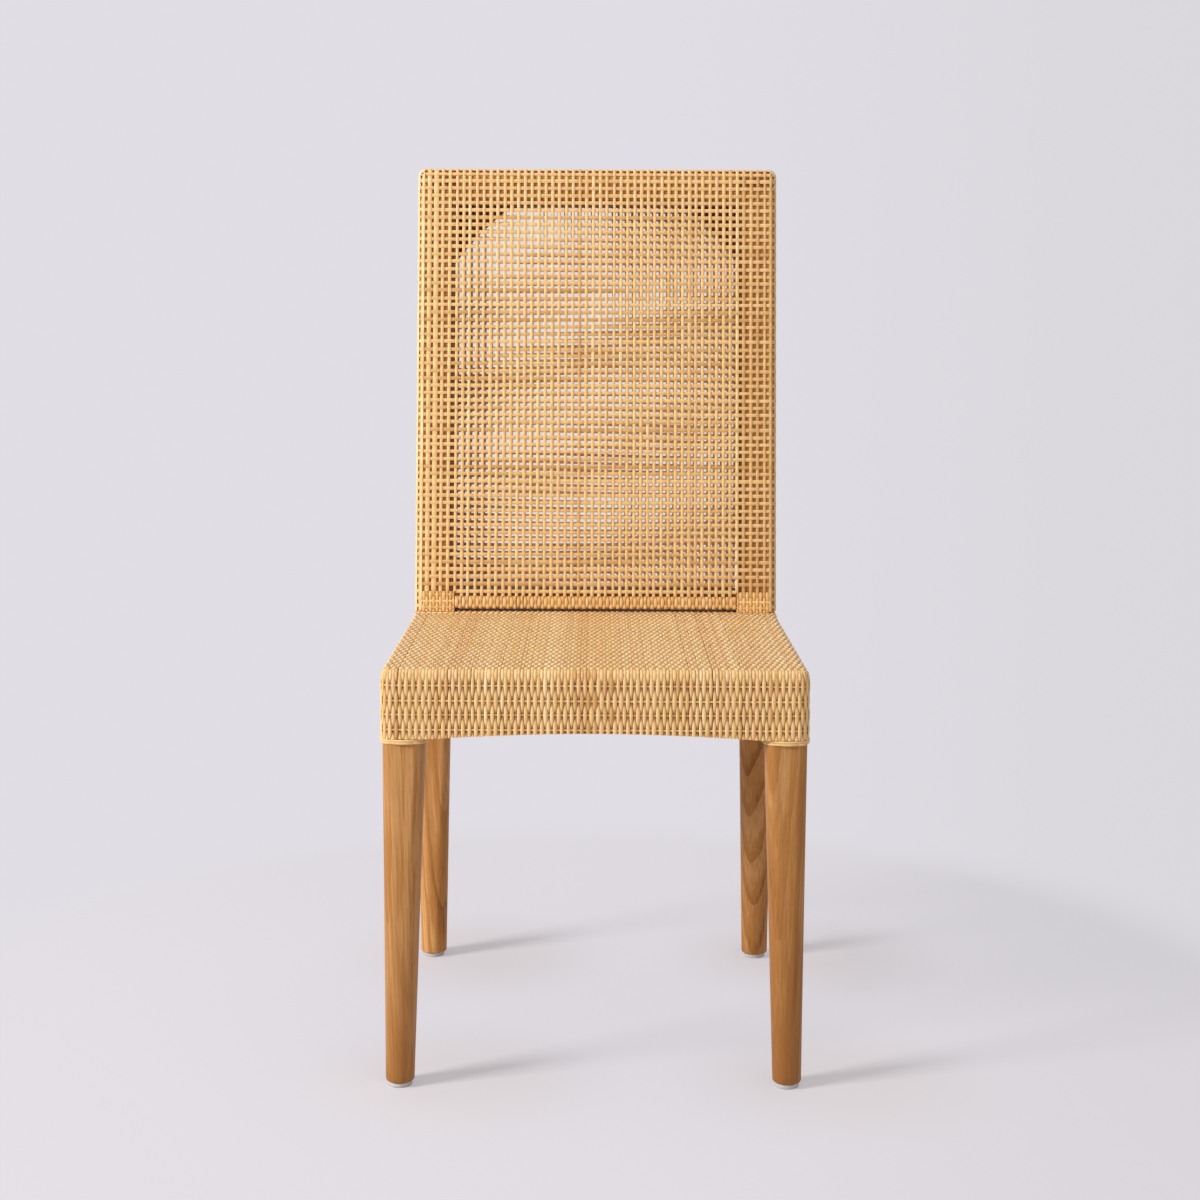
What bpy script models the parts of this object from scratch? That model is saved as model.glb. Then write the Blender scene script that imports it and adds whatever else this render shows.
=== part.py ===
"""A cane back dining chair: a hardwood frame skinned with woven cane.

Metres, +Z up. The front faces -Y, and left and right are as seen from the front.
The origin is on the floor, under the middle of the chair's box.
"""

from math import cos, pi, sin

import bmesh
import bpy
from mathutils import Matrix, Vector

# The whole chair
SEAT_WIDTH = 0.475
SEAT_DEPTH = 0.440
SEAT_HEIGHT = 0.472
CHAIR_HEIGHT = 1.053
BACK_THICKNESS = 0.045
BACK_RECLINE = 0.060
FIT_GAP = 0.0003

# Cane skins on the seat and the back
CANE_THICKNESS = 0.0022
APRON_HEIGHT = 0.0775
APRON_ARCH = 0.007
SEAT_ROLL_RADIUS = 0.009
SEAT_CORNER_RADIUS = 0.014
SEAT_ROLL_FADE = 0.012
BACK_EDGE_RADIUS = 0.010
BACK_SLOT = 0.003
BOTTOM_BAND_HEIGHT = 0.017
BOTTOM_EDGE_RADIUS = 0.005

# The open net of the back panels
NET_COLUMNS = 13
NET_ROWS = 16
NET_STRAND_SHARE = 0.5

# Front legs
FRONT_LEG_SIZE = 0.0465
FRONT_FOOT_SIZE = 0.033
LEG_OUTER_TAPER = 0.0025
FOOT_ROUNDING = 0.003

# Rear legs, each in one piece with its back post
REAR_LEG_WIDTH = 0.045
REAR_FOOT_SIZE = 0.034
REAR_LEG_CORNER_RADIUS = 0.009
REAR_LEG_RAKE = 0.0255
REAR_LEG_SHOULDER = 0.010
POST_WIDTH = 0.048

# Rails, slats and their joints
RAIL_THICKNESS = 0.024
TENON_LENGTH = 0.018
TENON_THICKNESS = 0.010
TENON_SHOULDER = 0.012
TOP_RAIL_HEIGHT = 0.0475
BOTTOM_RAIL_HEIGHT = 0.021
BACK_TENON_SHOULDER = 0.005
GUSSET_LEG = 0.072
GUSSET_SAG = 0.004
GUSSET_THICKNESS = 0.022
SLAT_COUNT = 4
SLAT_WIDTH = 0.050
SLAT_THICKNESS = 0.012
SLAT_SEAT = 0.010

# Corner blocks and their bolts
BLOCK_LEG = 0.034
BLOCK_HEIGHT = 0.022
BLOCK_DROP = 0.020
BOLT_RADIUS = 0.003
BOLT_HEAD_RADIUS = 0.0055
BOLT_HEAD_HEIGHT = 0.004
BOLT_LENGTH = 0.048
WASHER_RADIUS = 0.008
WASHER_THICKNESS = 0.0015

# Cane bands round the leg tops, and glides under the feet
BAND_HEIGHT = 0.0056
BAND_THICKNESS = 0.0018
GLIDE_RADIUS = 0.0135
GLIDE_HEIGHT = 0.005
GLIDE_CHAMFER = 0.001
NAIL_RADIUS = 0.0012
NAIL_LENGTH = 0.022
NAIL_HEAD_RADIUS = 0.0035
NAIL_HEAD_HEIGHT = 0.0012
NAIL_HEAD_RECESS = 0.0014

# How finely curves are cut
CORNER_STEPS = 4
ARCH_STEPS = 10
TAPER_STEPS = 6
ROUND_SIDES = 12
HALF_SHARE = 0.5
RAKE_CURVE_SHARE = 1.3
ROUND_FOOT_SHARE = 0.98
QUARTER_TURN = pi / 2
DIAGONAL_SHARE = 0.5 ** 0.5

# Planes worked out from the sizes above
HALF_WIDTH = SEAT_WIDTH / 2
BACK_HEIGHT = CHAIR_HEIGHT - SEAT_HEIGHT
REAR_REACH = BACK_RECLINE * (BACK_HEIGHT - BACK_EDGE_RADIUS) / BACK_HEIGHT
FRONT_Y = -(SEAT_DEPTH + BACK_THICKNESS + REAR_REACH) / 2
BACK_FRONT_Y = FRONT_Y + SEAT_DEPTH
SEAT_REAR_Y = BACK_FRONT_Y + BACK_THICKNESS
SKIN_INSET = CANE_THICKNESS + FIT_GAP
FRAME_X = HALF_WIDTH - SKIN_INSET
FRAME_FRONT_Y = FRONT_Y + SKIN_INSET
FRAME_REAR_Y = SEAT_REAR_Y - SKIN_INSET
FRAME_TOP_Z = SEAT_HEIGHT - SKIN_INSET
APRON_Z = SEAT_HEIGHT - APRON_HEIGHT
POST_FRONT_Y = BACK_FRONT_Y + SKIN_INSET
POST_INNER_X = FRAME_X - POST_WIDTH
FRONT_LEG_INNER_X = FRAME_X - FRONT_LEG_SIZE
FRONT_LEG_REAR_Y = FRAME_FRONT_Y + FRONT_LEG_SIZE
SIDE_RAIL_INNER_X = FRAME_X - RAIL_THICKNESS
BACK_TOP_Z = CHAIR_HEIGHT - SKIN_INSET
BAND_TOP_Z = SEAT_HEIGHT + BACK_SLOT + BOTTOM_BAND_HEIGHT
BOTTOM_RAIL_Z = SEAT_HEIGHT + BACK_SLOT + SKIN_INSET
LEG_FOOT_Z = GLIDE_HEIGHT + FIT_GAP
BLOCK_TOP_Z = FRAME_TOP_Z - BLOCK_DROP


def lean(z):
    """How far the back has moved to the rear at height z."""
    return BACK_RECLINE * max(0.0, z - SEAT_HEIGHT) / BACK_HEIGHT


def material(name, colour, roughness, metallic=0.0):
    """One Principled material for a kind of piece."""
    made = bpy.data.materials.new(name)
    made.use_nodes = True
    made.diffuse_color = (*colour, 1.0)
    shader = made.node_tree.nodes["Principled BSDF"]
    shader.inputs["Base Color"].default_value = (*colour, 1.0)
    shader.inputs["Roughness"].default_value = roughness
    shader.inputs["Metallic"].default_value = metallic
    return made


def piece(name, bm, surface):
    """Close the mesh bm into a named object with its own material."""
    bmesh.ops.remove_doubles(bm, verts=bm.verts, dist=FIT_GAP / ROUND_SIDES)
    bmesh.ops.recalc_face_normals(bm, faces=bm.faces)
    mesh = bpy.data.meshes.new(name)
    bm.to_mesh(mesh)
    bm.free()
    mesh.shade_smooth()
    mesh.set_sharp_from_angle(angle=QUARTER_TURN / 3)
    made = bpy.data.objects.new(name, mesh)
    bpy.context.scene.collection.objects.link(made)
    own = surface.copy()
    own.name = name
    mesh.materials.append(own)
    return made


def helper(name, bm):
    """An object that only cuts or joins, and is no piece of the chair."""
    made = piece(name, bm, bpy.data.materials["bare_wood"])
    made.hide_render = True
    made.display_type = "WIRE"
    return made


def combine(target, tool, operation):
    """Cut the tool from the target, or join it on."""
    modifier = target.modifiers.new(tool.name, "BOOLEAN")
    modifier.operation = operation
    modifier.object = tool


def box(low, high):
    """A box between two corners."""
    bm = bmesh.new()
    low, high = Vector(low), Vector(high)
    size = high - low
    place = Matrix.Translation((low + high) / 2) @ Matrix.Diagonal((*size, 1.0))
    bmesh.ops.create_cube(bm, size=1.0, matrix=place)
    return bm


def grown(low, high, by=FIT_GAP):
    """The corners of a box that is larger all round."""
    return [value - by for value in low], [value + by for value in high]


def prism(outline, thickness):
    """A flat outline of points, extruded along the vector thickness."""
    bm = bmesh.new()
    face = bm.faces.new([bm.verts.new(point) for point in outline])
    pushed = bmesh.ops.extrude_face_region(bm, geom=[face])
    moved = [item for item in pushed["geom"] if isinstance(item, bmesh.types.BMVert)]
    bmesh.ops.translate(bm, verts=moved, vec=Vector(thickness))
    return bm


def loft(loops, ring=False):
    """A closed skin through loops of equally many points, capped unless it is a ring."""
    bm = bmesh.new()
    rows = [[bm.verts.new(point) for point in loop] for loop in loops]
    pairs = list(zip(rows, rows[1:]))
    if ring:
        pairs.append((rows[-1], rows[0]))
    for low, high in pairs:
        for index in range(len(low)):
            bm.faces.new((low[index - 1], low[index], high[index], high[index - 1]))
    if not ring:
        bm.faces.new(rows[0])
        bm.faces.new(rows[-1])
    return bm


def turned(profile, place):
    """A profile of (radius, height) pairs turned round the local Z axis, then put in place."""
    bm = bmesh.new()
    points = [bm.verts.new((radius, 0.0, height)) for radius, height in profile]
    edges = [bm.edges.new(pair) for pair in zip(points, points[1:])]
    bmesh.ops.spin(
        bm, geom=points + edges, cent=(0, 0, 0), axis=(0, 0, 1), angle=4 * QUARTER_TURN, steps=ROUND_SIDES
    )
    bmesh.ops.transform(bm, matrix=place, verts=bm.verts)
    return bm


def arc(centre, radius, start, turn):
    """Points of a circular arc in a plane, from the angle start through turn."""
    angles = [start + turn * step / CORNER_STEPS for step in range(CORNER_STEPS + 1)]
    return [(centre[0] + radius * cos(angle), centre[1] + radius * sin(angle)) for angle in angles]


def rounded_section(centre, half, radius, z):
    """A level loop of points: a rectangle with round corners."""
    across, along = half[0] - radius, half[1] - radius
    corners = ((across, along, 0), (-across, along, 1), (-across, -along, 2), (across, -along, 3))
    loop = []
    for x, y, turns in corners:
        place = (centre[0] + x, centre[1] + y)
        loop += arc(place, radius, turns * QUARTER_TURN, QUARTER_TURN)
    return [(x, y, z) for x, y in loop]


# Legs


def front_leg_at(share):
    """Centre from the chair's outer planes, half size and corner radius, from apron (0) to foot (1)."""
    size = FRONT_LEG_SIZE + (FRONT_FOOT_SIZE - FRONT_LEG_SIZE) * share
    inset = LEG_OUTER_TAPER * share + size / 2
    square = SEAT_CORNER_RADIUS - SKIN_INSET
    radius = square + (ROUND_FOOT_SHARE * size / 2 - square) * share
    return FRAME_X - inset, FRAME_FRONT_Y + inset, size / 2, size / 2, radius


def rear_leg_at(share):
    """The same for a rear leg, whose centre also rakes to the rear."""
    width = REAR_LEG_WIDTH + (REAR_FOOT_SIZE - REAR_LEG_WIDTH) * share
    depth_at_apron = FRAME_REAR_Y - POST_FRONT_Y
    depth = depth_at_apron + (REAR_FOOT_SIZE - depth_at_apron) * share
    radius = REAR_LEG_CORNER_RADIUS + (ROUND_FOOT_SHARE * width / 2 - REAR_LEG_CORNER_RADIUS) * share
    x = FRAME_X - LEG_OUTER_TAPER * share - width / 2
    y = (POST_FRONT_Y + FRAME_REAR_Y) / 2 + REAR_LEG_RAKE * share ** RAKE_CURVE_SHARE
    return x, y, width / 2, depth / 2, min(radius, depth / 2)


def leg_loops(side, leg_at, grow=0.0, heights=None):
    """Level loops of a leg from the foot up to the apron, or at the given heights."""
    span = APRON_Z - LEG_FOOT_Z
    if heights is None:
        heights = [LEG_FOOT_Z + FOOT_ROUNDING]
        heights += [LEG_FOOT_Z + span * step / TAPER_STEPS for step in range(1, TAPER_STEPS + 1)]
    loops = []
    for z in heights:
        x, y, half_x, half_y, radius = leg_at((APRON_Z - z) / span)
        loops.append(rounded_section((side * x, y), (half_x + grow, half_y + grow), radius + grow, z))
    return loops


def foot_loop(side, leg_at):
    """The small loop at the bottom of a leg, inside its rounded edge."""
    x, y, half_x, half_y, radius = leg_at(1.0)
    half = (half_x - FOOT_ROUNDING, half_y - FOOT_ROUNDING)
    return rounded_section((side * x, y), half, radius - FOOT_ROUNDING, LEG_FOOT_Z)


def front_leg(name, side):
    """A tapered front leg, square in the seat frame and round at the foot."""
    x, y, half_x, half_y, radius = front_leg_at(0.0)
    chamfer = SEAT_ROLL_RADIUS - SKIN_INSET
    centre = (side * x, y)
    loops = [foot_loop(side, front_leg_at)] + leg_loops(side, front_leg_at)
    loops.append(rounded_section(centre, (half_x, half_y), radius, FRAME_TOP_Z - chamfer))
    loops.append(rounded_section(centre, (half_x - chamfer, half_y - chamfer), radius - chamfer, FRAME_TOP_Z))
    return piece(name, loft(loops), bpy.data.materials["teak"])


def rear_leg(name, side):
    """A raked rear leg that goes on up as the leaning post of the back."""
    half = (POST_WIDTH / 2, (FRAME_REAR_Y - POST_FRONT_Y) / 2)
    centre = (side * (FRAME_X - half[0]), (POST_FRONT_Y + FRAME_REAR_Y) / 2)
    radius = BACK_EDGE_RADIUS - SKIN_INSET
    loops = [foot_loop(side, rear_leg_at)] + leg_loops(side, rear_leg_at)
    top = CHAIR_HEIGHT - BACK_EDGE_RADIUS
    for z in (APRON_Z + REAR_LEG_SHOULDER, SEAT_HEIGHT, top):
        loops.append(rounded_section((centre[0], centre[1] + lean(z)), half, radius, z))
    end = (half[0] - radius, half[1] - radius)
    loops.append(rounded_section((centre[0], centre[1] + lean(BACK_TOP_Z)), end, 0.0, BACK_TOP_Z))
    return piece(name, loft(loops), bpy.data.materials["teak"])


def cane_band(name, side, leg_at):
    """The ring of split cane wound round a leg just under the apron."""
    top = APRON_Z - FIT_GAP
    heights = (top - BAND_HEIGHT, top)
    inner = leg_loops(side, leg_at, FIT_GAP, heights)
    outer = leg_loops(side, leg_at, FIT_GAP + BAND_THICKNESS, heights)
    loops = [inner[0], outer[0], outer[1], inner[1]]
    return piece(name, loft(loops, ring=True), bpy.data.materials["cane"])


def glide_profile():
    """Half section of a glide: a disc with a stepped hole for its nail."""
    bore = NAIL_RADIUS + FIT_GAP
    recess = NAIL_HEAD_RADIUS + FIT_GAP
    step = NAIL_HEAD_RECESS + NAIL_HEAD_HEIGHT
    return [
        (recess, 0.0),
        (GLIDE_RADIUS - GLIDE_CHAMFER, 0.0),
        (GLIDE_RADIUS, GLIDE_CHAMFER),
        (GLIDE_RADIUS, GLIDE_HEIGHT),
        (bore, GLIDE_HEIGHT),
        (bore, step + FIT_GAP),
        (recess, step + FIT_GAP),
        (recess, 0.0),
    ]


def nail_profile(grow=0.0):
    """Half section of a nail standing on its head."""
    low = NAIL_HEAD_RECESS
    return [
        (0.0, low - grow),
        (NAIL_HEAD_RADIUS + grow, low - grow),
        (NAIL_HEAD_RADIUS + grow, low + NAIL_HEAD_HEIGHT + grow),
        (NAIL_RADIUS + grow, low + NAIL_HEAD_HEIGHT + grow),
        (NAIL_RADIUS + grow, NAIL_LENGTH - NAIL_RADIUS),
        (0.0, NAIL_LENGTH + grow),
    ]


def foot(name, side, leg, leg_at):
    """The glide under a foot and the nail that holds it, with the nail's hole in the leg."""
    x, y = leg_at(1.0)[:2]
    place = Matrix.Translation((side * x, y, 0.0))
    piece("glide_" + name, turned(glide_profile(), place), bpy.data.materials["nylon"])
    piece("glide_nail_" + name, turned(nail_profile(), place), bpy.data.materials["steel"])
    combine(leg, helper("cut_nail_" + name, turned(nail_profile(FIT_GAP), place)), "DIFFERENCE")


# Seat frame


def edges_along(bm, axis, test):
    """Edges that run along an axis and whose middle passes the test."""
    found = []
    for edge in bm.edges:
        way = (edge.verts[1].co - edge.verts[0].co).normalized()
        if abs(way[axis]) > ROUND_FOOT_SHARE and test((edge.verts[0].co + edge.verts[1].co) / 2):
            found.append(edge)
    return found


def tenoned(rail, name, ends, legs):
    """Join a tenon box on each end of a rail, and cut its mortise in the leg there."""
    for leg, (low, high) in zip(legs, ends):
        combine(rail, helper("tenon_" + name + leg.name, box(low, high)), "UNION")
        low, high = grown(low, high)
        combine(leg, helper("mortise_" + name + leg.name, box(low, high)), "DIFFERENCE")


def seat_rail_across(name, y_low, y_high, inner_x, arch, outer_y, legs):
    """A rail between two legs of one end of the seat, arched underneath if asked."""
    reach = inner_x - FIT_GAP
    bottom = APRON_Z + FIT_GAP
    outline = [(-reach, y_low, FRAME_TOP_Z), (-reach, y_low, bottom)]
    for step in range(1, ARCH_STEPS):
        share = step / ARCH_STEPS
        outline.append((reach * (2 * share - 1), y_low, bottom + arch * sin(pi * share)))
    outline += [(reach, y_low, bottom), (reach, y_low, FRAME_TOP_Z)]
    bm = prism(outline, (0.0, y_high - y_low, 0.0))
    middle = (y_low + y_high) / 2
    top_edge = edges_along(
        bm, 0, lambda at: at.z > FRAME_TOP_Z - FIT_GAP and (at.y - middle) * (outer_y - middle) > 0
    )
    chamfer = SEAT_ROLL_RADIUS - SKIN_INSET
    bmesh.ops.bevel(bm, geom=top_edge, offset=chamfer, segments=1, affect="EDGES")
    rail = piece(name, bm, bpy.data.materials["bare_wood"])
    low_z, high_z = bottom + TENON_SHOULDER, FRAME_TOP_Z - TENON_SHOULDER
    half = TENON_THICKNESS / 2
    ends = []
    for side in (-1, 1):
        tip = side * (inner_x + TENON_LENGTH)
        root = side * (reach - TENON_LENGTH)
        ends.append(((min(tip, root), middle - half, low_z), (max(tip, root), middle + half, high_z)))
    tenoned(rail, name, ends, legs)
    return rail


def side_seat_rail(name, side, legs):
    """A rail from the front leg to the rear leg of one side."""
    inner, outer = side * SIDE_RAIL_INNER_X, side * FRAME_X
    bottom = APRON_Z + FIT_GAP
    start, end = FRONT_LEG_REAR_Y + FIT_GAP, POST_FRONT_Y - FIT_GAP
    bm = box((min(inner, outer), start, bottom), (max(inner, outer), end, FRAME_TOP_Z))
    top_edge = edges_along(
        bm, 1, lambda at: at.z > FRAME_TOP_Z - FIT_GAP and abs(at.x) > FRAME_X - FIT_GAP
    )
    chamfer = SEAT_ROLL_RADIUS - SKIN_INSET
    bmesh.ops.bevel(bm, geom=top_edge, offset=chamfer, segments=1, affect="EDGES")
    rail = piece(name, bm, bpy.data.materials["bare_wood"])
    low_z, high_z = bottom + TENON_SHOULDER, FRAME_TOP_Z - TENON_SHOULDER
    middle, half = (inner + outer) / 2, TENON_THICKNESS / 2
    spans = ((start - TENON_LENGTH, start + TENON_LENGTH), (end - TENON_LENGTH, end + TENON_LENGTH))
    ends = [((middle - half, low, low_z), (middle + half, high, high_z)) for low, high in spans]
    tenoned(rail, name, ends, legs)
    return rail


def seat_slats(side_rails):
    """Slats under the seat weave, let into the top of the side rails."""
    first = FRAME_FRONT_Y + RAIL_THICKNESS
    last = FRAME_REAR_Y - RAIL_THICKNESS
    pitch = (last - first) / SLAT_COUNT
    reach = SIDE_RAIL_INNER_X + SLAT_SEAT
    for number in range(SLAT_COUNT):
        middle = first + pitch * (number + HALF_SHARE)
        low = (-reach, middle - SLAT_WIDTH / 2, FRAME_TOP_Z - SLAT_THICKNESS)
        high = (reach, middle + SLAT_WIDTH / 2, FRAME_TOP_Z)
        name = f"seat_slat_{number + 1}"
        piece(name, box(low, high), bpy.data.materials["bare_wood"])
        low, high = grown(low, high)
        for rail in side_rails:
            combine(rail, helper("cut_" + name + rail.name, box(low, high)), "DIFFERENCE")


def bolt_profile(grow=0.0):
    """Half section of a bolt along its own axis, its head behind zero."""
    return [
        (0.0, -BOLT_HEAD_HEIGHT - grow),
        (BOLT_HEAD_RADIUS + grow, -BOLT_HEAD_HEIGHT - grow),
        (BOLT_HEAD_RADIUS + grow, grow),
        (BOLT_RADIUS + grow, grow),
        (BOLT_RADIUS + grow, BOLT_LENGTH - BOLT_RADIUS),
        (0.0, BOLT_LENGTH + grow),
    ]


def washer_profile():
    """Half section of the washer between a bolt's head and its block."""
    bore = BOLT_RADIUS + FIT_GAP
    return [
        (bore, FIT_GAP),
        (WASHER_RADIUS, FIT_GAP),
        (WASHER_RADIUS, FIT_GAP + WASHER_THICKNESS),
        (bore, FIT_GAP + WASHER_THICKNESS),
        (bore, FIT_GAP),
    ]


def corner_block(name, side, end, corner, rail_y, leg):
    """A block across a corner of the seat frame, bolted to the leg; end is -1 in front, 1 behind."""
    leg_x, leg_y = corner[0] - FIT_GAP, corner[1] - end * FIT_GAP
    rail_face = rail_y - end * FIT_GAP
    side_face = SIDE_RAIL_INNER_X - FIT_GAP
    near_x = corner[0] - BLOCK_LEG
    far_y = rail_face - end * (side_face - near_x)
    plan = [(leg_x, rail_face), (near_x, rail_face), (side_face, far_y), (side_face, leg_y), (leg_x, leg_y)]
    low = BLOCK_TOP_Z - BLOCK_HEIGHT
    block = piece(
        name, prism([(side * x, y, low) for x, y in plan], (0.0, 0.0, BLOCK_HEIGHT)), bpy.data.materials["bare_wood"]
    )
    middle_z = BLOCK_TOP_Z - BLOCK_HEIGHT / 2
    seat = WASHER_THICKNESS + 2 * FIT_GAP
    middle = Vector((side * (near_x + side_face) / 2, (rail_face + far_y) / 2, middle_z))
    inward = Vector((side * DIAGONAL_SHARE, end * DIAGONAL_SHARE, 0.0))
    turn = inward.to_track_quat("Z", "Y").to_matrix().to_4x4()
    place = Matrix.Translation(middle - inward * seat) @ turn
    piece(name + "_bolt", turned(bolt_profile(), place), bpy.data.materials["steel"])
    piece(name + "_washer", turned(washer_profile(), place), bpy.data.materials["steel"])
    for target in (block, leg):
        hole = turned(bolt_profile(FIT_GAP), place)
        combine(target, helper("bolt_hole_" + name + target.name, hole), "DIFFERENCE")


# Seat cane


def roll_profile(bottom, radius):
    """Section of an apron skin as (inset, height): a wall that rolls over onto the seat."""
    top = SEAT_HEIGHT
    outer = arc((radius, top - radius), radius, 2 * QUARTER_TURN, -QUARTER_TURN)
    inner = arc((radius, top - radius), radius - CANE_THICKNESS, QUARTER_TURN, QUARTER_TURN)
    return [(0.0, bottom)] + outer + inner + [(CANE_THICKNESS, bottom)]


def apron_skin(name, stations):
    """An apron of cane along plan stations of (point, inward normal, bottom, roll radius)."""
    loops = []
    for (x, y), (in_x, in_y), bottom, radius in stations:
        loops.append([(x + inset * in_x, y + inset * in_y, z) for inset, z in roll_profile(bottom, radius)])
    return piece(name, loft(loops), bpy.data.materials["cane"])


def corner_stations(centre, radius, start, bottom, roll):
    """Stations round a vertical corner of the apron."""
    points = arc(centre, radius, start, QUARTER_TURN)
    inward = arc((0.0, 0.0), -1.0, start, QUARTER_TURN)
    return [(point, normal, bottom, roll) for point, normal in zip(points, inward)]


def seat_aprons():
    """The four aprons, which meet at the ends of the round corners."""
    front_x, rear_x = HALF_WIDTH - SEAT_CORNER_RADIUS, HALF_WIDTH - BACK_EDGE_RADIUS
    front_y, rear_y = FRONT_Y + SEAT_CORNER_RADIUS, SEAT_REAR_Y - BACK_EDGE_RADIUS
    roll, small = SEAT_ROLL_RADIUS, CANE_THICKNESS + FIT_GAP
    half_turn = 2 * QUARTER_TURN
    stations = corner_stations((-front_x, front_y), SEAT_CORNER_RADIUS, half_turn, APRON_Z, roll)
    arch_x = FRONT_LEG_INNER_X
    for step in range(ARCH_STEPS + 1):
        share = step / ARCH_STEPS
        bottom = APRON_Z + APRON_ARCH * sin(pi * share)
        stations.append(((arch_x * (2 * share - 1), FRONT_Y), (0.0, 1.0), bottom, roll))
    stations += corner_stations((front_x, front_y), SEAT_CORNER_RADIUS, half_turn + QUARTER_TURN, APRON_Z, roll)
    apron_skin("front_apron_cane", stations)
    stations = corner_stations((rear_x, rear_y), BACK_EDGE_RADIUS, 0.0, APRON_Z, small)
    stations += corner_stations((-rear_x, rear_y), BACK_EDGE_RADIUS, QUARTER_TURN, APRON_Z, small)
    apron_skin("rear_apron_cane", stations)
    for name, side in (("left", -1), ("right", 1)):
        places = (
            (front_y + FIT_GAP, roll),
            (BACK_FRONT_Y - SEAT_ROLL_FADE, roll),
            (BACK_FRONT_Y, small),
            (rear_y - FIT_GAP, small),
        )
        stations = [((side * HALF_WIDTH, y), (-side, 0.0), APRON_Z, radius) for y, radius in places]
        apron_skin(name + "_apron_cane", stations)


def seat_top_outline():
    """Right half of the seat top's outline, from the middle of the front to the middle of the rear."""
    edge = SEAT_ROLL_RADIUS + FIT_GAP
    small = CANE_THICKNESS + 2 * FIT_GAP
    centre = (HALF_WIDTH - SEAT_CORNER_RADIUS, FRONT_Y + SEAT_CORNER_RADIUS)
    points = arc(centre, SEAT_CORNER_RADIUS - edge, -QUARTER_TURN, QUARTER_TURN)
    notch_y = POST_FRONT_Y - FIT_GAP
    notch_x = POST_INNER_X - FIT_GAP
    points.append((HALF_WIDTH - edge, BACK_FRONT_Y - SEAT_ROLL_FADE))
    points.append((HALF_WIDTH - small, BACK_FRONT_Y))
    points.append((HALF_WIDTH - small, notch_y))
    points.append((notch_x, notch_y))
    points.append((notch_x, SEAT_REAR_Y - small))
    return points


def seat_top_cane():
    """The flat woven seat between the rolls of the aprons, notched round the posts."""
    right = seat_top_outline()
    outline = right + [(-x, y) for x, y in reversed(right)]
    bm = prism([(x, y, SEAT_HEIGHT) for x, y in outline], (0.0, 0.0, -CANE_THICKNESS))
    return piece("seat_top_cane", bm, bpy.data.materials["cane"])


# Back frame


def leaning_box(low, high):
    """A box in the leaning back: its y values are measured from the front of the back."""
    bm = box(low, high)
    for vert in bm.verts:
        vert.co.y += BACK_FRONT_Y + lean(vert.co.z)
    return bm


def back_rail(name, bottom, top, outer_z, edge_radius, legs):
    """A rail between the posts, with its outer edges chamfered under the cane."""
    depth_middle = BACK_THICKNESS / 2
    half = depth_middle - SKIN_INSET
    reach = POST_INNER_X - FIT_GAP
    bm = leaning_box((-reach, depth_middle - half, bottom), (reach, depth_middle + half, top))
    edges = edges_along(bm, 0, lambda at: abs(at.z - outer_z) < FIT_GAP)
    bmesh.ops.bevel(bm, geom=edges, offset=edge_radius - SKIN_INSET, segments=1, affect="EDGES")
    rail = piece(name, bm, bpy.data.materials["bare_wood"])
    low_z, high_z = bottom + BACK_TENON_SHOULDER, top - max(BACK_TENON_SHOULDER, edge_radius - SKIN_INSET)
    if outer_z == bottom:
        low_z, high_z = bottom + BACK_TENON_SHOULDER, top - BACK_TENON_SHOULDER
    half = TENON_THICKNESS / 2
    for side, leg in zip((-1, 1), legs):
        tip, root = side * (reach + TENON_LENGTH), side * (reach - TENON_LENGTH)
        low = (min(tip, root), depth_middle - half, low_z)
        high = (max(tip, root), depth_middle + half, high_z)
        combine(rail, helper("tenon_" + name + leg.name, leaning_box(low, high)), "UNION")
        low, high = grown(low, high)
        combine(leg, helper("mortise_" + name + leg.name, leaning_box(low, high)), "DIFFERENCE")
    return rail


def back_gusset(name, side):
    """A corner piece between a post and the top rail, its long side slightly hollow."""
    right_x = POST_INNER_X - FIT_GAP
    top_z = BACK_TOP_Z - TOP_RAIL_HEIGHT - FIT_GAP
    outline = [(right_x, top_z), (right_x, top_z - GUSSET_LEG)]
    for step in range(1, CORNER_STEPS):
        share = step / CORNER_STEPS
        sag = GUSSET_SAG * sin(pi * share) * DIAGONAL_SHARE
        outline.append((right_x - GUSSET_LEG * share + sag, top_z - GUSSET_LEG * (1 - share) + sag))
    outline.append((right_x - GUSSET_LEG, top_z))
    depth = (BACK_THICKNESS - GUSSET_THICKNESS) / 2
    bm = prism([(side * x, depth, z) for x, z in outline], (0.0, GUSSET_THICKNESS, 0.0))
    for vert in bm.verts:
        vert.co.y += BACK_FRONT_Y + lean(vert.co.z)
    return piece(name, bm, bpy.data.materials["bare_wood"])


# Back cane


def edge_profile():
    """Section of the cane over an edge of the back as (inset, depth)."""
    radius, far = BACK_EDGE_RADIUS, BACK_THICKNESS - BACK_EDGE_RADIUS
    inner_radius = radius - CANE_THICKNESS
    quarter, half_turn = QUARTER_TURN, 2 * QUARTER_TURN
    outer = arc((radius, radius), radius, -quarter, -quarter) + arc((radius, far), radius, half_turn, -quarter)
    inner = arc((radius, far), inner_radius, quarter, quarter)
    inner += arc((radius, radius), inner_radius, half_turn, quarter)
    return outer + inner


def edge_skin(name, stations):
    """Cane over an edge of the back, along front view stations of (point, inward normal)."""
    loops = []
    for (x, z), (in_x, in_z) in stations:
        loop = []
        for inset, depth in edge_profile():
            height = z + inset * in_z
            loop.append((x + inset * in_x, BACK_FRONT_Y + depth + lean(height), height))
        loops.append(loop)
    return piece(name, loft(loops), bpy.data.materials["cane"])


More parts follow.
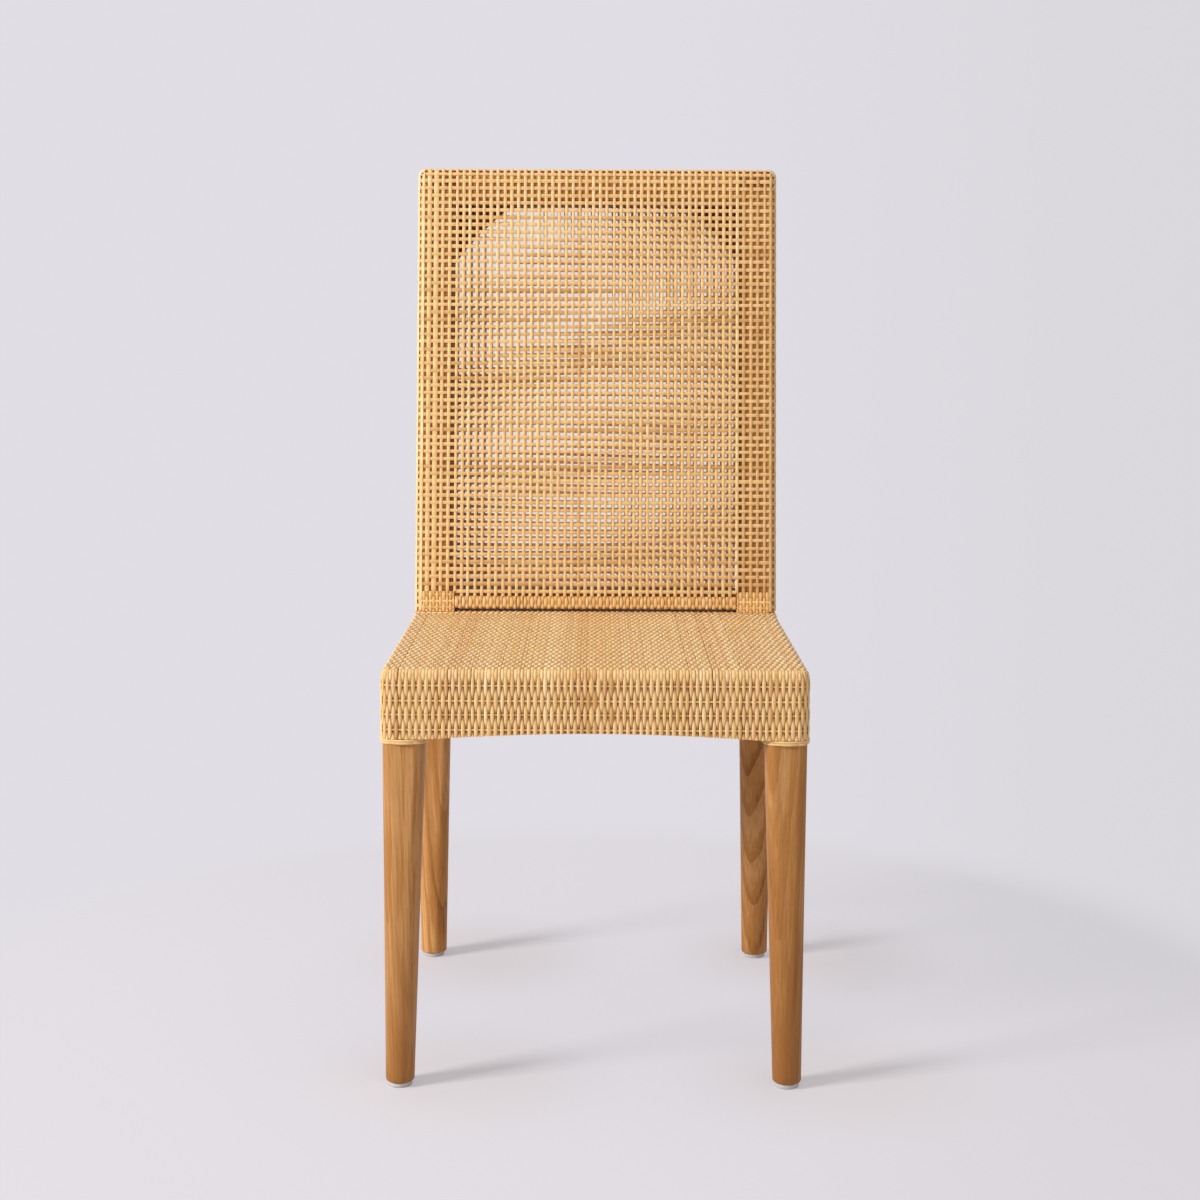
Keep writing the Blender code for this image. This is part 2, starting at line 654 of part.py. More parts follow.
def back_edges():
    """Cane over the two sides and the top of the back; the sides take the round corners."""
    corner_z = CHAIR_HEIGHT - BACK_EDGE_RADIUS
    corner_x = HALF_WIDTH - BACK_EDGE_RADIUS
    for name, side in (("left", -1), ("right", 1)):
        stations = [((side * HALF_WIDTH, SEAT_HEIGHT + FIT_GAP), (-side, 0.0))]
        for x, z in arc((0.0, 0.0), 1.0, 0.0, QUARTER_TURN):
            place = (side * (corner_x + BACK_EDGE_RADIUS * x), corner_z + BACK_EDGE_RADIUS * z)
            stations.append((place, (-side * x, -z)))
        edge_skin("back_edge_cane_" + name, stations)
    reach = corner_x - FIT_GAP
    ends = [((x, CHAIR_HEIGHT), (0.0, -1.0)) for x in (-reach, reach)]
    edge_skin("back_edge_cane_top", ends)


def net_lines(low, high, gaps):
    """Places of both edges of every strand across a net."""
    pitch = (high - low) / (gaps + NET_STRAND_SHARE)
    strand = pitch * NET_STRAND_SHARE
    return [low + pitch * number + edge for number in range(gaps + 1) for edge in (0.0, strand)]


def back_net(name, depth):
    """An open flat net of cane over one face of the back, its gaps right through."""
    reach = HALF_WIDTH - BACK_EDGE_RADIUS - FIT_GAP
    xs = net_lines(-reach, reach, NET_COLUMNS)
    zs = net_lines(BAND_TOP_Z + FIT_GAP, CHAIR_HEIGHT - BACK_EDGE_RADIUS - FIT_GAP, NET_ROWS)
    bm = bmesh.new()
    grid = [[bm.verts.new((x, BACK_FRONT_Y + depth + lean(z), z)) for x in xs] for z in zs]
    for row in range(len(zs) - 1):
        for column in range(len(xs) - 1):
            if row % 2 and column % 2:
                continue
            low, high = grid[row], grid[row + 1]
            bm.faces.new((low[column], low[column + 1], high[column + 1], high[column]))
    pushed = bmesh.ops.extrude_face_region(bm, geom=bm.faces[:])
    moved = [item for item in pushed["geom"] if isinstance(item, bmesh.types.BMVert)]
    bmesh.ops.translate(bm, verts=moved, vec=(0.0, CANE_THICKNESS, 0.0))
    return piece(name, bm, bpy.data.materials["cane"])


def back_bottom_cane():
    """The closed band of cane round the bottom rail, open at the top."""
    radius, far = BOTTOM_EDGE_RADIUS, BACK_THICKNESS - BOTTOM_EDGE_RADIUS
    inner_radius = radius - CANE_THICKNESS
    low, top = SEAT_HEIGHT + BACK_SLOT, BAND_TOP_Z
    quarter, half_turn = QUARTER_TURN, 2 * QUARTER_TURN
    section = [(0.0, top)] + arc((radius, low + radius), radius, half_turn, quarter)
    section += arc((far, low + radius), radius, -quarter, quarter) + [(BACK_THICKNESS, top)]
    section += [(BACK_THICKNESS - CANE_THICKNESS, top)]
    section += arc((far, low + radius), inner_radius, 0.0, -quarter)
    section += arc((radius, low + radius), inner_radius, -quarter, -quarter) + [(CANE_THICKNESS, top)]
    reach = POST_INNER_X - 2 * FIT_GAP - CANE_THICKNESS
    loops = [[(x, BACK_FRONT_Y + y + lean(z), z) for y, z in section] for x in (-reach, reach)]
    return piece("back_bottom_cane", loft(loops), bpy.data.materials["cane"])


def post_base_wrap(name, side):
    """Cane round the front, inside and rear of a post, from the seat up to the net."""
    lip = HALF_WIDTH - BACK_EDGE_RADIUS - FIT_GAP
    inside = POST_INNER_X - FIT_GAP
    outside = inside - CANE_THICKNESS
    far, wall = BACK_THICKNESS, CANE_THICKNESS
    plan = [(lip, 0.0), (outside, 0.0), (outside, far), (lip, far)]
    plan += [(lip, far - wall), (inside, far - wall), (inside, wall), (lip, wall)]
    loops = []
    for z in (SEAT_HEIGHT + FIT_GAP, BAND_TOP_Z):
        loops.append([(side * x, BACK_FRONT_Y + y + lean(z), z) for x, y in plan])
    wrap = piece(name, loft(loops), bpy.data.materials["cane"])
    low = (min(side * POST_INNER_X, 0.0), SKIN_INSET, BOTTOM_RAIL_Z)
    high = (max(side * POST_INNER_X, 0.0), BACK_THICKNESS - SKIN_INSET, BAND_TOP_Z)
    low, high = grown(low, high)
    combine(wrap, helper("rail_gap_" + name, leaning_box(low, high)), "DIFFERENCE")
    return wrap


# Assembly


def make_materials():
    """Finishes that the pieces copy."""
    material("teak", (0.44, 0.22, 0.10), 0.5)
    material("bare_wood", (0.30, 0.15, 0.06), 0.7)
    material("cane", (0.73, 0.46, 0.20), 0.55)
    material("nylon", (0.80, 0.79, 0.76), 0.5)
    material("steel", (0.55, 0.55, 0.55), 0.35, 1.0)


def make_frame():
    """Legs, seat rails, slats, blocks and the frame of the back."""
    sides = (("left", -1), ("right", 1))
    front_legs = [front_leg("front_leg_" + name, side) for name, side in sides]
    rear_legs = [rear_leg("rear_leg_" + name, side) for name, side in sides]
    inner_front_y, inner_rear_y = FRAME_FRONT_Y + RAIL_THICKNESS, FRAME_REAR_Y - RAIL_THICKNESS
    seat_rail_across(
        "front_seat_rail", FRAME_FRONT_Y, inner_front_y, FRONT_LEG_INNER_X, APRON_ARCH, FRAME_FRONT_Y, front_legs
    )
    seat_rail_across("rear_seat_rail", inner_rear_y, FRAME_REAR_Y, POST_INNER_X, 0.0, FRAME_REAR_Y, rear_legs)
    side_rails = []
    for index, (name, side) in enumerate(sides):
        legs = (front_legs[index], rear_legs[index])
        side_rails.append(side_seat_rail(name + "_seat_rail", side, legs))
        front_corner = (FRONT_LEG_INNER_X, FRONT_LEG_REAR_Y)
        rear_corner = (POST_INNER_X, POST_FRONT_Y)
        corner_block("corner_block_front_" + name, side, -1, front_corner, inner_front_y, legs[0])
        corner_block("corner_block_rear_" + name, side, 1, rear_corner, inner_rear_y, legs[1])
        cane_band("leg_band_front_" + name, side, front_leg_at)
        cane_band("leg_band_rear_" + name, side, rear_leg_at)
        foot("front_" + name, side, legs[0], front_leg_at)
        foot("rear_" + name, side, legs[1], rear_leg_at)
        back_gusset("back_gusset_" + name, side)
        post_base_wrap("post_base_cane_" + name, side)
    seat_slats(side_rails)
    back_rail("back_top_rail", BACK_TOP_Z - TOP_RAIL_HEIGHT, BACK_TOP_Z, BACK_TOP_Z, BACK_EDGE_RADIUS, rear_legs)
    top = BOTTOM_RAIL_Z + BOTTOM_RAIL_HEIGHT
    back_rail("back_bottom_rail", BOTTOM_RAIL_Z, top, BOTTOM_RAIL_Z, BOTTOM_EDGE_RADIUS, rear_legs)


def make_cane():
    """All the skins of the seat and the back."""
    seat_aprons()
    seat_top_cane()
    back_edges()
    back_net("back_front_cane_net", 0.0)
    back_net("back_rear_cane_net", BACK_THICKNESS - CANE_THICKNESS)
    back_bottom_cane()


def main():
    """Clear the scene and build the chair."""
    for leftover in list(bpy.data.objects):
        bpy.data.objects.remove(leftover)
    make_materials()
    make_frame()
    make_cane()


main()
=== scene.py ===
"""Looks of the high cane back dining chair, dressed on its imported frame.

Every class holds one sub-assembly or one finish, and each sub-assembly builds and dresses its own pieces.
Lengths are metres, +Z is up, the seat faces -Y, and left and right are as seen from the front.
"""

import logging
from abc import ABC, abstractmethod
from dataclasses import dataclass, field
from enum import Enum, IntEnum
from math import ceil, floor, inf, pi, radians
from typing import Callable

import bpy
import numpy as np
from mathutils import Matrix, Vector


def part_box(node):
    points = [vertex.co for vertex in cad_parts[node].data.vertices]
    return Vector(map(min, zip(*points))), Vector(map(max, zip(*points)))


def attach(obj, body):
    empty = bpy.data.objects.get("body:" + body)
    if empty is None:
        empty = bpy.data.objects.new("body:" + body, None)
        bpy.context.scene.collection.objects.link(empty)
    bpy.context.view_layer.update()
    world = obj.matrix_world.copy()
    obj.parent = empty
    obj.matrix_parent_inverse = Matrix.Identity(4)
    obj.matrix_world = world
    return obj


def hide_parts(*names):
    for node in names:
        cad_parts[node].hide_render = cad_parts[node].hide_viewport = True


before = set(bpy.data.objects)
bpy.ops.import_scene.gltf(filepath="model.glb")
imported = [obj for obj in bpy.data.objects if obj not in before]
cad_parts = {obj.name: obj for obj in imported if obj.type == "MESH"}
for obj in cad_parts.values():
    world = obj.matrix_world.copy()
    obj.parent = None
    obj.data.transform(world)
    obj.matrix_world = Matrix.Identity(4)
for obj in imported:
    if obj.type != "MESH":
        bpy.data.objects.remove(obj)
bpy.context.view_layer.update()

log = logging.getLogger("cane_back_chair")
QUARTER_TURN = pi / 2
FULL_TURN = 2 * pi
TOUCH = 1e-6
BODY = "root"
Array = np.ndarray
Triple = tuple[float, float, float]
Material = bpy.types.Material
Piece = bpy.types.Object
Socket = bpy.types.NodeSocket
Sheet = Callable[[Array, Array], tuple[Array, Array]]


class Place(Enum):
    """A side or an end of the chair."""

    @property
    def word(self) -> str:
        """Its word in the names of nodes."""
        return self.name.lower()


class Side(Place):
    """The chair's two sides, with the sign of X on each."""

    LEFT = -1
    RIGHT = 1


class End(Place):
    """The chair's two ends, with the sign of Y on each."""

    FRONT = -1
    REAR = 1


# Sizes of the whole chair


@dataclass(frozen=True)
class ChairSizes:
    """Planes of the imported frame, and the few sizes that a box can't give."""

    half_width: float
    front_y: float
    rear_y: float
    apron_z: float
    seat_z: float
    top_z: float
    band_top_z: float
    back_thickness: float = 0.045
    back_recline: float = 0.060
    skin: float = 0.0022
    skin_inset: float = 0.0025
    seat_roll: float = 0.009
    seat_corner: float = 0.014
    roll_fade: float = 0.012
    back_edge: float = 0.010
    bottom_edge: float = 0.005
    back_slot: float = 0.003
    post_width: float = 0.048
    post_cane_top: float = 0.0262
    small_roll: float = 0.0025
    arch: float = 0.007
    top_rail: float = 0.040
    clearance: float = 0.0003

    @classmethod
    def from_frame(cls) -> "ChairSizes":
        """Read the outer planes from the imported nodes.

        Returns:
            The sizes, for all the sub-assemblies.
        """
        front_low, front_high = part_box("front_apron_cane")
        return cls(
            half_width=front_high.x,
            front_y=front_low.y,
            rear_y=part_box("rear_apron_cane")[1].y,
            apron_z=front_low.z,
            seat_z=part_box("seat_top_cane")[1].z,
            top_z=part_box("back_edge_cane_top")[1].z,
            band_top_z=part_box("back_bottom_cane")[1].z,
        )

    @property
    def post_band_z(self) -> float:
        """The top of the closed cane at the foot of each post."""
        return self.seat_z + self.post_cane_top

    @property
    def back_y(self) -> float:
        """The front of the back at seat height."""
        return self.rear_y - self.back_thickness

    @property
    def back_opening(self) -> Triple:
        """The back's opening: half its width, and the heights of its lower and upper edges."""
        return self.post_inner_x, self.post_band_z, self.top_seam_z - self.top_rail

    @property
    def seam_x(self) -> float:
        """Where the back's faces meet its rounded long sides."""
        return self.half_width - self.back_edge

    @property
    def top_seam_z(self) -> float:
        """Where the back's faces meet its rounded top."""
        return self.top_z - self.back_edge

    @property
    def round_back(self) -> float:
        """The way round an edge of the back, from its front face to its rear face."""
        return 2 * self.back_edge * QUARTER_TURN + self.back_thickness - 2 * self.back_edge

    @property
    def post_inner_x(self) -> float:
        """The inner face of the posts."""
        return self.half_width - self.skin_inset - self.post_width

    def lean(self, z: Array) -> Array:
        """Work out how far the back has moved to the rear at each height."""
        return self.back_recline * np.maximum(0.0, z - self.seat_z) / (self.top_z - self.seat_z)


# Modelling helpers


def nothing_selected() -> None:
    """Leave edit mode and deselect every object, the CAD nodes too."""
    if bpy.context.object is not None and bpy.context.object.mode != "OBJECT":
        bpy.ops.object.mode_set(mode="OBJECT")
    bpy.ops.object.select_all(action="DESELECT")


def only(made: Piece) -> None:
    """Make one object the only selected one, and the active one.

    Args:
        made: The object to select.
    """
    nothing_selected()
    made.select_set(True)
    bpy.context.view_layer.objects.active = made


def pick_edges(made: Piece, wanted: Callable[[Vector, Vector], bool]) -> None:
    """Open an object in edit mode with only some of its edges selected.

    Args:
        made: The object to open.
        wanted: Says from an edge's two ends whether it is selected.
    """
    only(made)
    bpy.ops.object.mode_set(mode="EDIT")
    bpy.ops.mesh.select_mode(type="EDGE")
    bpy.ops.mesh.select_all(action="DESELECT")
    bpy.ops.object.mode_set(mode="OBJECT")
    points = made.data.vertices
    for edge in made.data.edges:
        edge.select = wanted(points[edge.vertices[0]].co, points[edge.vertices[1]].co)
    bpy.ops.object.mode_set(mode="EDIT")


def cut_lengthwise(made: Piece, cuts: int) -> None:
    """Cut every edge that runs along Z into equal lengths.

    Args:
        made: A prism along Z.
        cuts: How many cuts each edge gets.
    """
    if cuts < 1:
        return
    pick_edges(made, lambda low, high: abs(low.z - high.z) > TOUCH)
    bpy.ops.mesh.subdivide(number_cuts=cuts)
    bpy.ops.object.mode_set(mode="OBJECT")


def blank_prism(sides: int, gaps: int, per_gap: int) -> Piece:
    """Model a prism of unit radius and length, cut into rings.

    Args:
        sides: Corners of its section.
        gaps: Stretches along it.
        per_gap: Rings to each stretch.

    Returns:
        The prism, standing on the origin.
    """
    nothing_selected()
    bpy.ops.mesh.primitive_cylinder_add(vertices=sides, radius=1.0, depth=1.0, location=(0.0, 0.0, 0.5))
    blank = bpy.context.object
    bpy.ops.object.transform_apply(location=True, rotation=False, scale=False)
    cut_lengthwise(blank, gaps - 1)
    cut_lengthwise(blank, per_gap - 1)
    return blank


def corner_and_ring(made: Piece, sides: int, rings: int, spacing: float = 1.0) -> tuple:
    """Read where each point of a row of prisms is.

    Args:
        made: Prisms that stand in a row along X.
        sides: Corners of their section.
        rings: Rings along each.
        spacing: Their distance apart.

    Returns:
        Whole numbers for each point: its prism, its ring and its corner.
    """
    points = np.empty(len(made.data.vertices) * 3, np.float32)
    made.data.vertices.foreach_get("co", points)
    points = points.reshape(-1, 3)
    prism = np.rint(points[:, 0] / spacing).astype(int)
    ring = np.rint(points[:, 2] * (rings - 1)).astype(int)
    turn = np.arctan2(points[:, 1], points[:, 0] - prism * spacing) / FULL_TURN
    return prism, ring, np.rint(turn * sides - 1 / 4).astype(int) % sides


def move_points(made: Piece, points: Array) -> None:
    """Put an object's points in their places, one for each."""
    made.data.vertices.foreach_set("co", points.astype(np.float32).ravel())
    made.data.update()


def outward(made: Piece, smooth_angle: float) -> None:
    """Turn all faces outwards and shade them smooth up to an angle.

    Args:
        made: The object.
        smooth_angle: The least angle of a sharp edge.
    """
    only(made)
    bpy.ops.object.mode_set(mode="EDIT")
    bpy.ops.mesh.select_all(action="SELECT")
    bpy.ops.mesh.normals_make_consistent(inside=False)
    bpy.ops.object.mode_set(mode="OBJECT")
    bpy.ops.object.shade_smooth_by_angle(angle=smooth_angle)


def install(made: Piece, name: str, finish: Material, slot: str, *nodes: str) -> None:
    """Name and dress a finished piece, and let it ride and stand for its CAD nodes.

    Args:
        made: The piece.
        name: Its name.
        finish: Its material.
        slot: A material slot's name, which is not used.
        *nodes: The CAD nodes that it stands for.
    """
    made.name = made.data.name = name
    made.data.materials.clear()
    made.data.materials.append(finish)
    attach(made, BODY)
    if nodes:
        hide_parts(*nodes)
    log.info("%s: %d faces", name, len(made.data.polygons))


# Shader graphs and finishes

BUMP_DEPTH = 0.0002


class Graph:
    """A short way to add and join the nodes of one tree."""

    def __init__(self, tree: bpy.types.NodeTree) -> None:
        """Keep the tree that the nodes go into."""
        self.tree = tree

    def add(self, kind: str, sockets: dict | None = None, **settings) -> bpy.types.Node:
        """Add a node.

        Args:
            kind: The node's type, without its ShaderNode prefix.
            sockets: A value or an output for each named or numbered input.
            **settings: The node's own settings.

        Returns:
            The node.
        """
        node = self.tree.nodes.new("ShaderNode" + kind if not kind.startswith("NodeGroup") else kind)
        for name, value in settings.items():
            setattr(node, name, value)
        for name, value in (sockets or {}).items():
            if isinstance(value, Socket):
                self.tree.links.new(value, node.inputs[name])
            else:
                node.inputs[name].default_value = value
        return node

    def sum(self, operation: str, first, second=0.0, third=0.0) -> Socket:
        """Add a Math node and give its output."""
        node = self.add("Math", {0: first, 1: second, 2: third}, operation=operation)
        return node.outputs[0]

    def swayed(self, value, weight: float, pattern) -> Socket:
        """Move a value up and down by a pattern that goes from 0 to 1."""
        return self.sum("MULTIPLY_ADD", pattern, weight, self.sum("SUBTRACT", value, weight / 2))

    def mix(self, factor, first, second, blend: str = "MIX") -> Socket:
        """Add a colour Mix node and give its output."""
        node = self.add("Mix", {0: factor, 6: first, 7: second}, data_type="RGBA", blend_type=blend)
        return node.outputs[2]

    def spread(self, value, low: float, high: float, to_low=0.0, to_high=1.0) -> Socket:
        """Add a smooth Map Range node from low and high to two new values, and give its output."""
        sockets = {"Value": value, "From Min": low, "From Max": high, "To Min": to_low, "To Max": to_high}
        return self.add("MapRange", sockets, interpolation_type="SMOOTHSTEP").outputs["Result"]

    def noise(self, vector, scale: float, detail: float = 2.0, roughness: float = 0.5) -> Socket:
        """Add a Noise node and give its value, from 0 to 1."""
        sockets = {"Vector": vector, "Scale": scale, "Detail": detail, "Roughness": roughness}
        return self.add("TexNoise", sockets).outputs["Fac"]

    def stretched(self, vector, scale: tuple, offset=(0.0, 0.0, 0.0), turn=(0.0, 0.0, 0.0)):
        """Add a Mapping node and give its vector."""
        sockets = {"Vector": vector, "Scale": scale, "Location": offset, "Rotation": turn}
        return self.add("Mapping", sockets).outputs["Vector"]


def new_group(name: str, inputs: dict, outputs: dict) -> tuple[bpy.types.NodeTree, Graph, dict, dict]:
    """Start a shader node group.

    Args:
        name: The group's name.
        inputs: Name and socket type of each input.
        outputs: Name and socket type of each output.

    Returns:
        The tree, its graph, its input sockets and its output sockets, by name.
    """
    tree = bpy.data.node_groups.new(name, "ShaderNodeTree")
    for title, kind in inputs.items():
        tree.interface.new_socket(title, in_out="INPUT", socket_type="NodeSocket" + kind)
    for title, kind in outputs.items():
        tree.interface.new_socket(title, in_out="OUTPUT", socket_type="NodeSocket" + kind)
    graph = Graph(tree)
    entry, leave = graph.add("NodeGroupInput"), graph.add("NodeGroupOutput")
    given = {socket.name: socket for socket in entry.outputs if socket.name}
    wanted = {socket.name: socket for socket in leave.inputs if socket.name}
    return tree, graph, given, wanted


def new_surface(name: str) -> tuple[Material, Graph, bpy.types.Node]:
    """Start a material.

    Args:
        name: The material's name.

    Returns:
        The material, its graph and its Principled shader.
    """
    made = bpy.data.materials.new(name)
    made.use_nodes = True
    return made, Graph(made.node_tree), made.node_tree.nodes["Principled BSDF"]


def coloured(rgb: Triple) -> tuple[float, float, float, float]:
    """Give a linear colour its alpha."""
    return (*rgb, 1.0)


class StrandWear:
    """The shared effect on split cane: fibres, slow changes of tone, specks, and painted shade deep in the
    weave, where strands dive.

    A range says from which two values, and to which two, a pattern is spread.
    """

    inputs = {"Light": "Color", "Middle": "Color", "Dark": "Color", "Blush": "Color", "Stain": "Color"}
    outputs = {"Colour": "Color", "Roughness": "Float", "Height": "Float"}
    fibre_scale = (2600.0, 34.0, 1.0)
    patch_scale = (60.0, 13.0, 1.0)
    speck_scale = (260.0, 190.0, 1.0)
    patch_weight = 0.7
    fibre_weight = 0.5
    blush_range = (0.62, 0.95, 0.0, 0.75)
    speck_range = (0.72, 0.80, 0.0, 0.6)
    sheen_range = (0.3, 0.7, 0.38, 0.56)

    def build(self) -> bpy.types.NodeTree:
        """Make the group.

        Returns:
            The node tree, which reads the strands' own attribute and UV map.
        """
        tree, graph, given, wanted = new_group("split_cane_wear", self.inputs, self.outputs)
        read = graph.add("Attribute", attribute_name=STRAND_ATTRIBUTE)
        parts = graph.add("SeparateXYZ", {0: read.outputs["Vector"]}).outputs
        place = graph.add("UVMap", uv_map=STRAND_MAP).outputs["UV"]
        fibre = graph.noise(graph.stretched(place, self.fibre_scale), 1.0, 3.0, 0.6)
        patch = graph.noise(graph.stretched(place, self.patch_scale), 1.0, 1.0)
        speck = graph.noise(graph.stretched(place, self.speck_scale), 1.0, 1.0)
        tone = graph.swayed(parts["X"], self.patch_weight, patch)
        tone = graph.swayed(tone, self.fibre_weight, fibre)
        low = graph.mix(graph.spread(tone, 0.0, 0.5), given["Dark"], given["Middle"])
        both = graph.mix(graph.spread(tone, 0.5, 1.0), low, given["Light"])
        blush = graph.mix(graph.spread(parts["Y"], *self.blush_range), both, given["Blush"])
        # Specks are real dark marks; they take the same dark colour that the painted shade uses.
        marked = graph.mix(graph.spread(speck, *self.speck_range), blush, given["Stain"])
        # Painted shade: the colour is multiplied towards the dark colour as far as the strand dives.
        deep = graph.mix(parts["Z"], marked, given["Stain"], "MULTIPLY")
        graph.tree.links.new(deep, wanted["Colour"])
        graph.tree.links.new(graph.spread(fibre, *self.sheen_range), wanted["Roughness"])
        graph.tree.links.new(fibre, wanted["Height"])
        return tree


def join_surface(graph: Graph, shader, effect, colour, bump: float, specular: float) -> None:
    """Join a colour, and a shared effect's roughness and height, to a shader.

    Args:
        graph: The material's graph.
        shader: Its Principled shader.
        effect: The node of the shared effect.
        colour: The colour's socket.
        bump: How strongly the height shows.
        specular: The shader's specular level.
    """
    links = graph.tree.links
    links.new(colour, shader.inputs["Base Color"])
    links.new(effect.outputs["Roughness"], shader.inputs["Roughness"])
    sockets = {"Strength": bump, "Distance": BUMP_DEPTH, "Height": effect.outputs["Height"]}
    links.new(graph.add("Bump", sockets).outputs["Normal"], shader.inputs["Normal"])
    shader.inputs["Specular IOR Level"].default_value = specular


@dataclass(frozen=True)
class CaneFinish:
    """Natural split cane with a soft sheen."""

    light: Triple = (0.89, 0.67, 0.37)
    middle: Triple = (0.78, 0.505, 0.215)
    dark: Triple = (0.56, 0.295, 0.095)
    blush: Triple = (0.80, 0.49, 0.235)
    # The dark colour of the painted shade where strands dive; it also colours the real specks.
    stain: Triple = (0.30, 0.125, 0.014)
    bump: float = 0.25
    specular: float = 0.22

    def make(self, name: str, wear: bpy.types.NodeTree) -> Material:
        """Make the material.

        Args:
            name: Its name.
            wear: The shared effect on split cane.

        Returns:
            The material.
        """
        made, graph, shader = new_surface(name)
        sockets = {title: coloured(getattr(self, title.lower())) for title in StrandWear.inputs}
        group = graph.add("Group", sockets, node_tree=wear)
        join_surface(graph, shader, group, group.outputs["Colour"], self.bump, self.specular)
        return made


WARM_CANE = CaneFinish(light=(0.88, 0.61, 0.29), middle=(0.80, 0.465, 0.165))


class PlankGrain:
    """The shared effect on wood: growth rings seen along the plank, pores and slow changes of tint."""

    inputs = {
        "Vector": "Vector",
        "Light": "Color",
        "Middle": "Color",
        "Dark": "Color",
        "Ring Scale": "Float",
        "Ring Strength": "Float",
    }
    outputs = StrandWear.outputs
    sway_scale = (9.0, 9.0, 1.6)
    sway = (0.030, 0.030, 0.0)
    streak_scale = (420.0, 420.0, 7.0)
    pore_scale = (1500.0, 1500.0, 45.0)
    patch_scale = (26.0, 26.0, 5.0)
    ring_range = (0.40, 1.0)
    streak_range = (0.25, 0.75, 0.0, 0.35)
    patch_range = (0.3, 0.7, -0.09, 0.31)
    pore_range = (0.62, 0.72, 0.0, 0.45)
    dent_range = (0.6, 0.7)
    sheen_range = (0.2, 0.8, 0.42, 0.60)

    def build(self) -> bpy.types.NodeTree:
        """Make the group.

        Returns:
            The node tree. Its Vector input has the grain along Z.
        """
        tree, graph, given, wanted = new_group("plank_grain", self.inputs, self.outputs)
        vector = given["Vector"]
        sway = graph.add("TexNoise", {"Vector": graph.stretched(vector, self.sway_scale), "Scale": 1.0})
        bent = graph.add("VectorMath", {0: sway.outputs["Color"], 1: self.sway}, operation="MULTIPLY")
        moved = graph.add("VectorMath", {0: vector, 1: bent.outputs[0]}, operation="ADD").outputs[0]
        sockets = {"Vector": moved, "Scale": given["Ring Scale"], "Distortion": 1.2, "Detail": 2.0}
        wave = graph.add("TexWave", sockets, wave_type="RINGS", rings_direction="Z", wave_profile="SAW")
        ring = graph.spread(wave.outputs["Fac"], *self.ring_range)
        streak = graph.noise(graph.stretched(vector, self.streak_scale), 1.0, 3.0, 0.6)
        pore = graph.noise(graph.stretched(vector, self.pore_scale), 1.0, 1.0)
        patch = graph.noise(graph.stretched(vector, self.patch_scale), 1.0, 2.0)
        streaked = graph.spread(streak, *self.streak_range)
        tone = graph.sum("MULTIPLY_ADD", ring, given["Ring Strength"], streaked)
        tone = graph.sum("ADD", tone, graph.spread(patch, *self.patch_range))
        low = graph.mix(graph.spread(tone, 0.0, 0.5), given["Light"], given["Middle"])
        both = graph.mix(graph.spread(tone, 0.5, 1.05), low, given["Dark"])
        pored = graph.mix(graph.spread(pore, *self.pore_range), both, given["Dark"])
        graph.tree.links.new(pored, wanted["Colour"])
        graph.tree.links.new(graph.spread(streak, *self.sheen_range), wanted["Roughness"])
        dented = graph.sum("SUBTRACT", streak, graph.spread(pore, *self.dent_range))
        graph.tree.links.new(dented, wanted["Height"])
        return tree


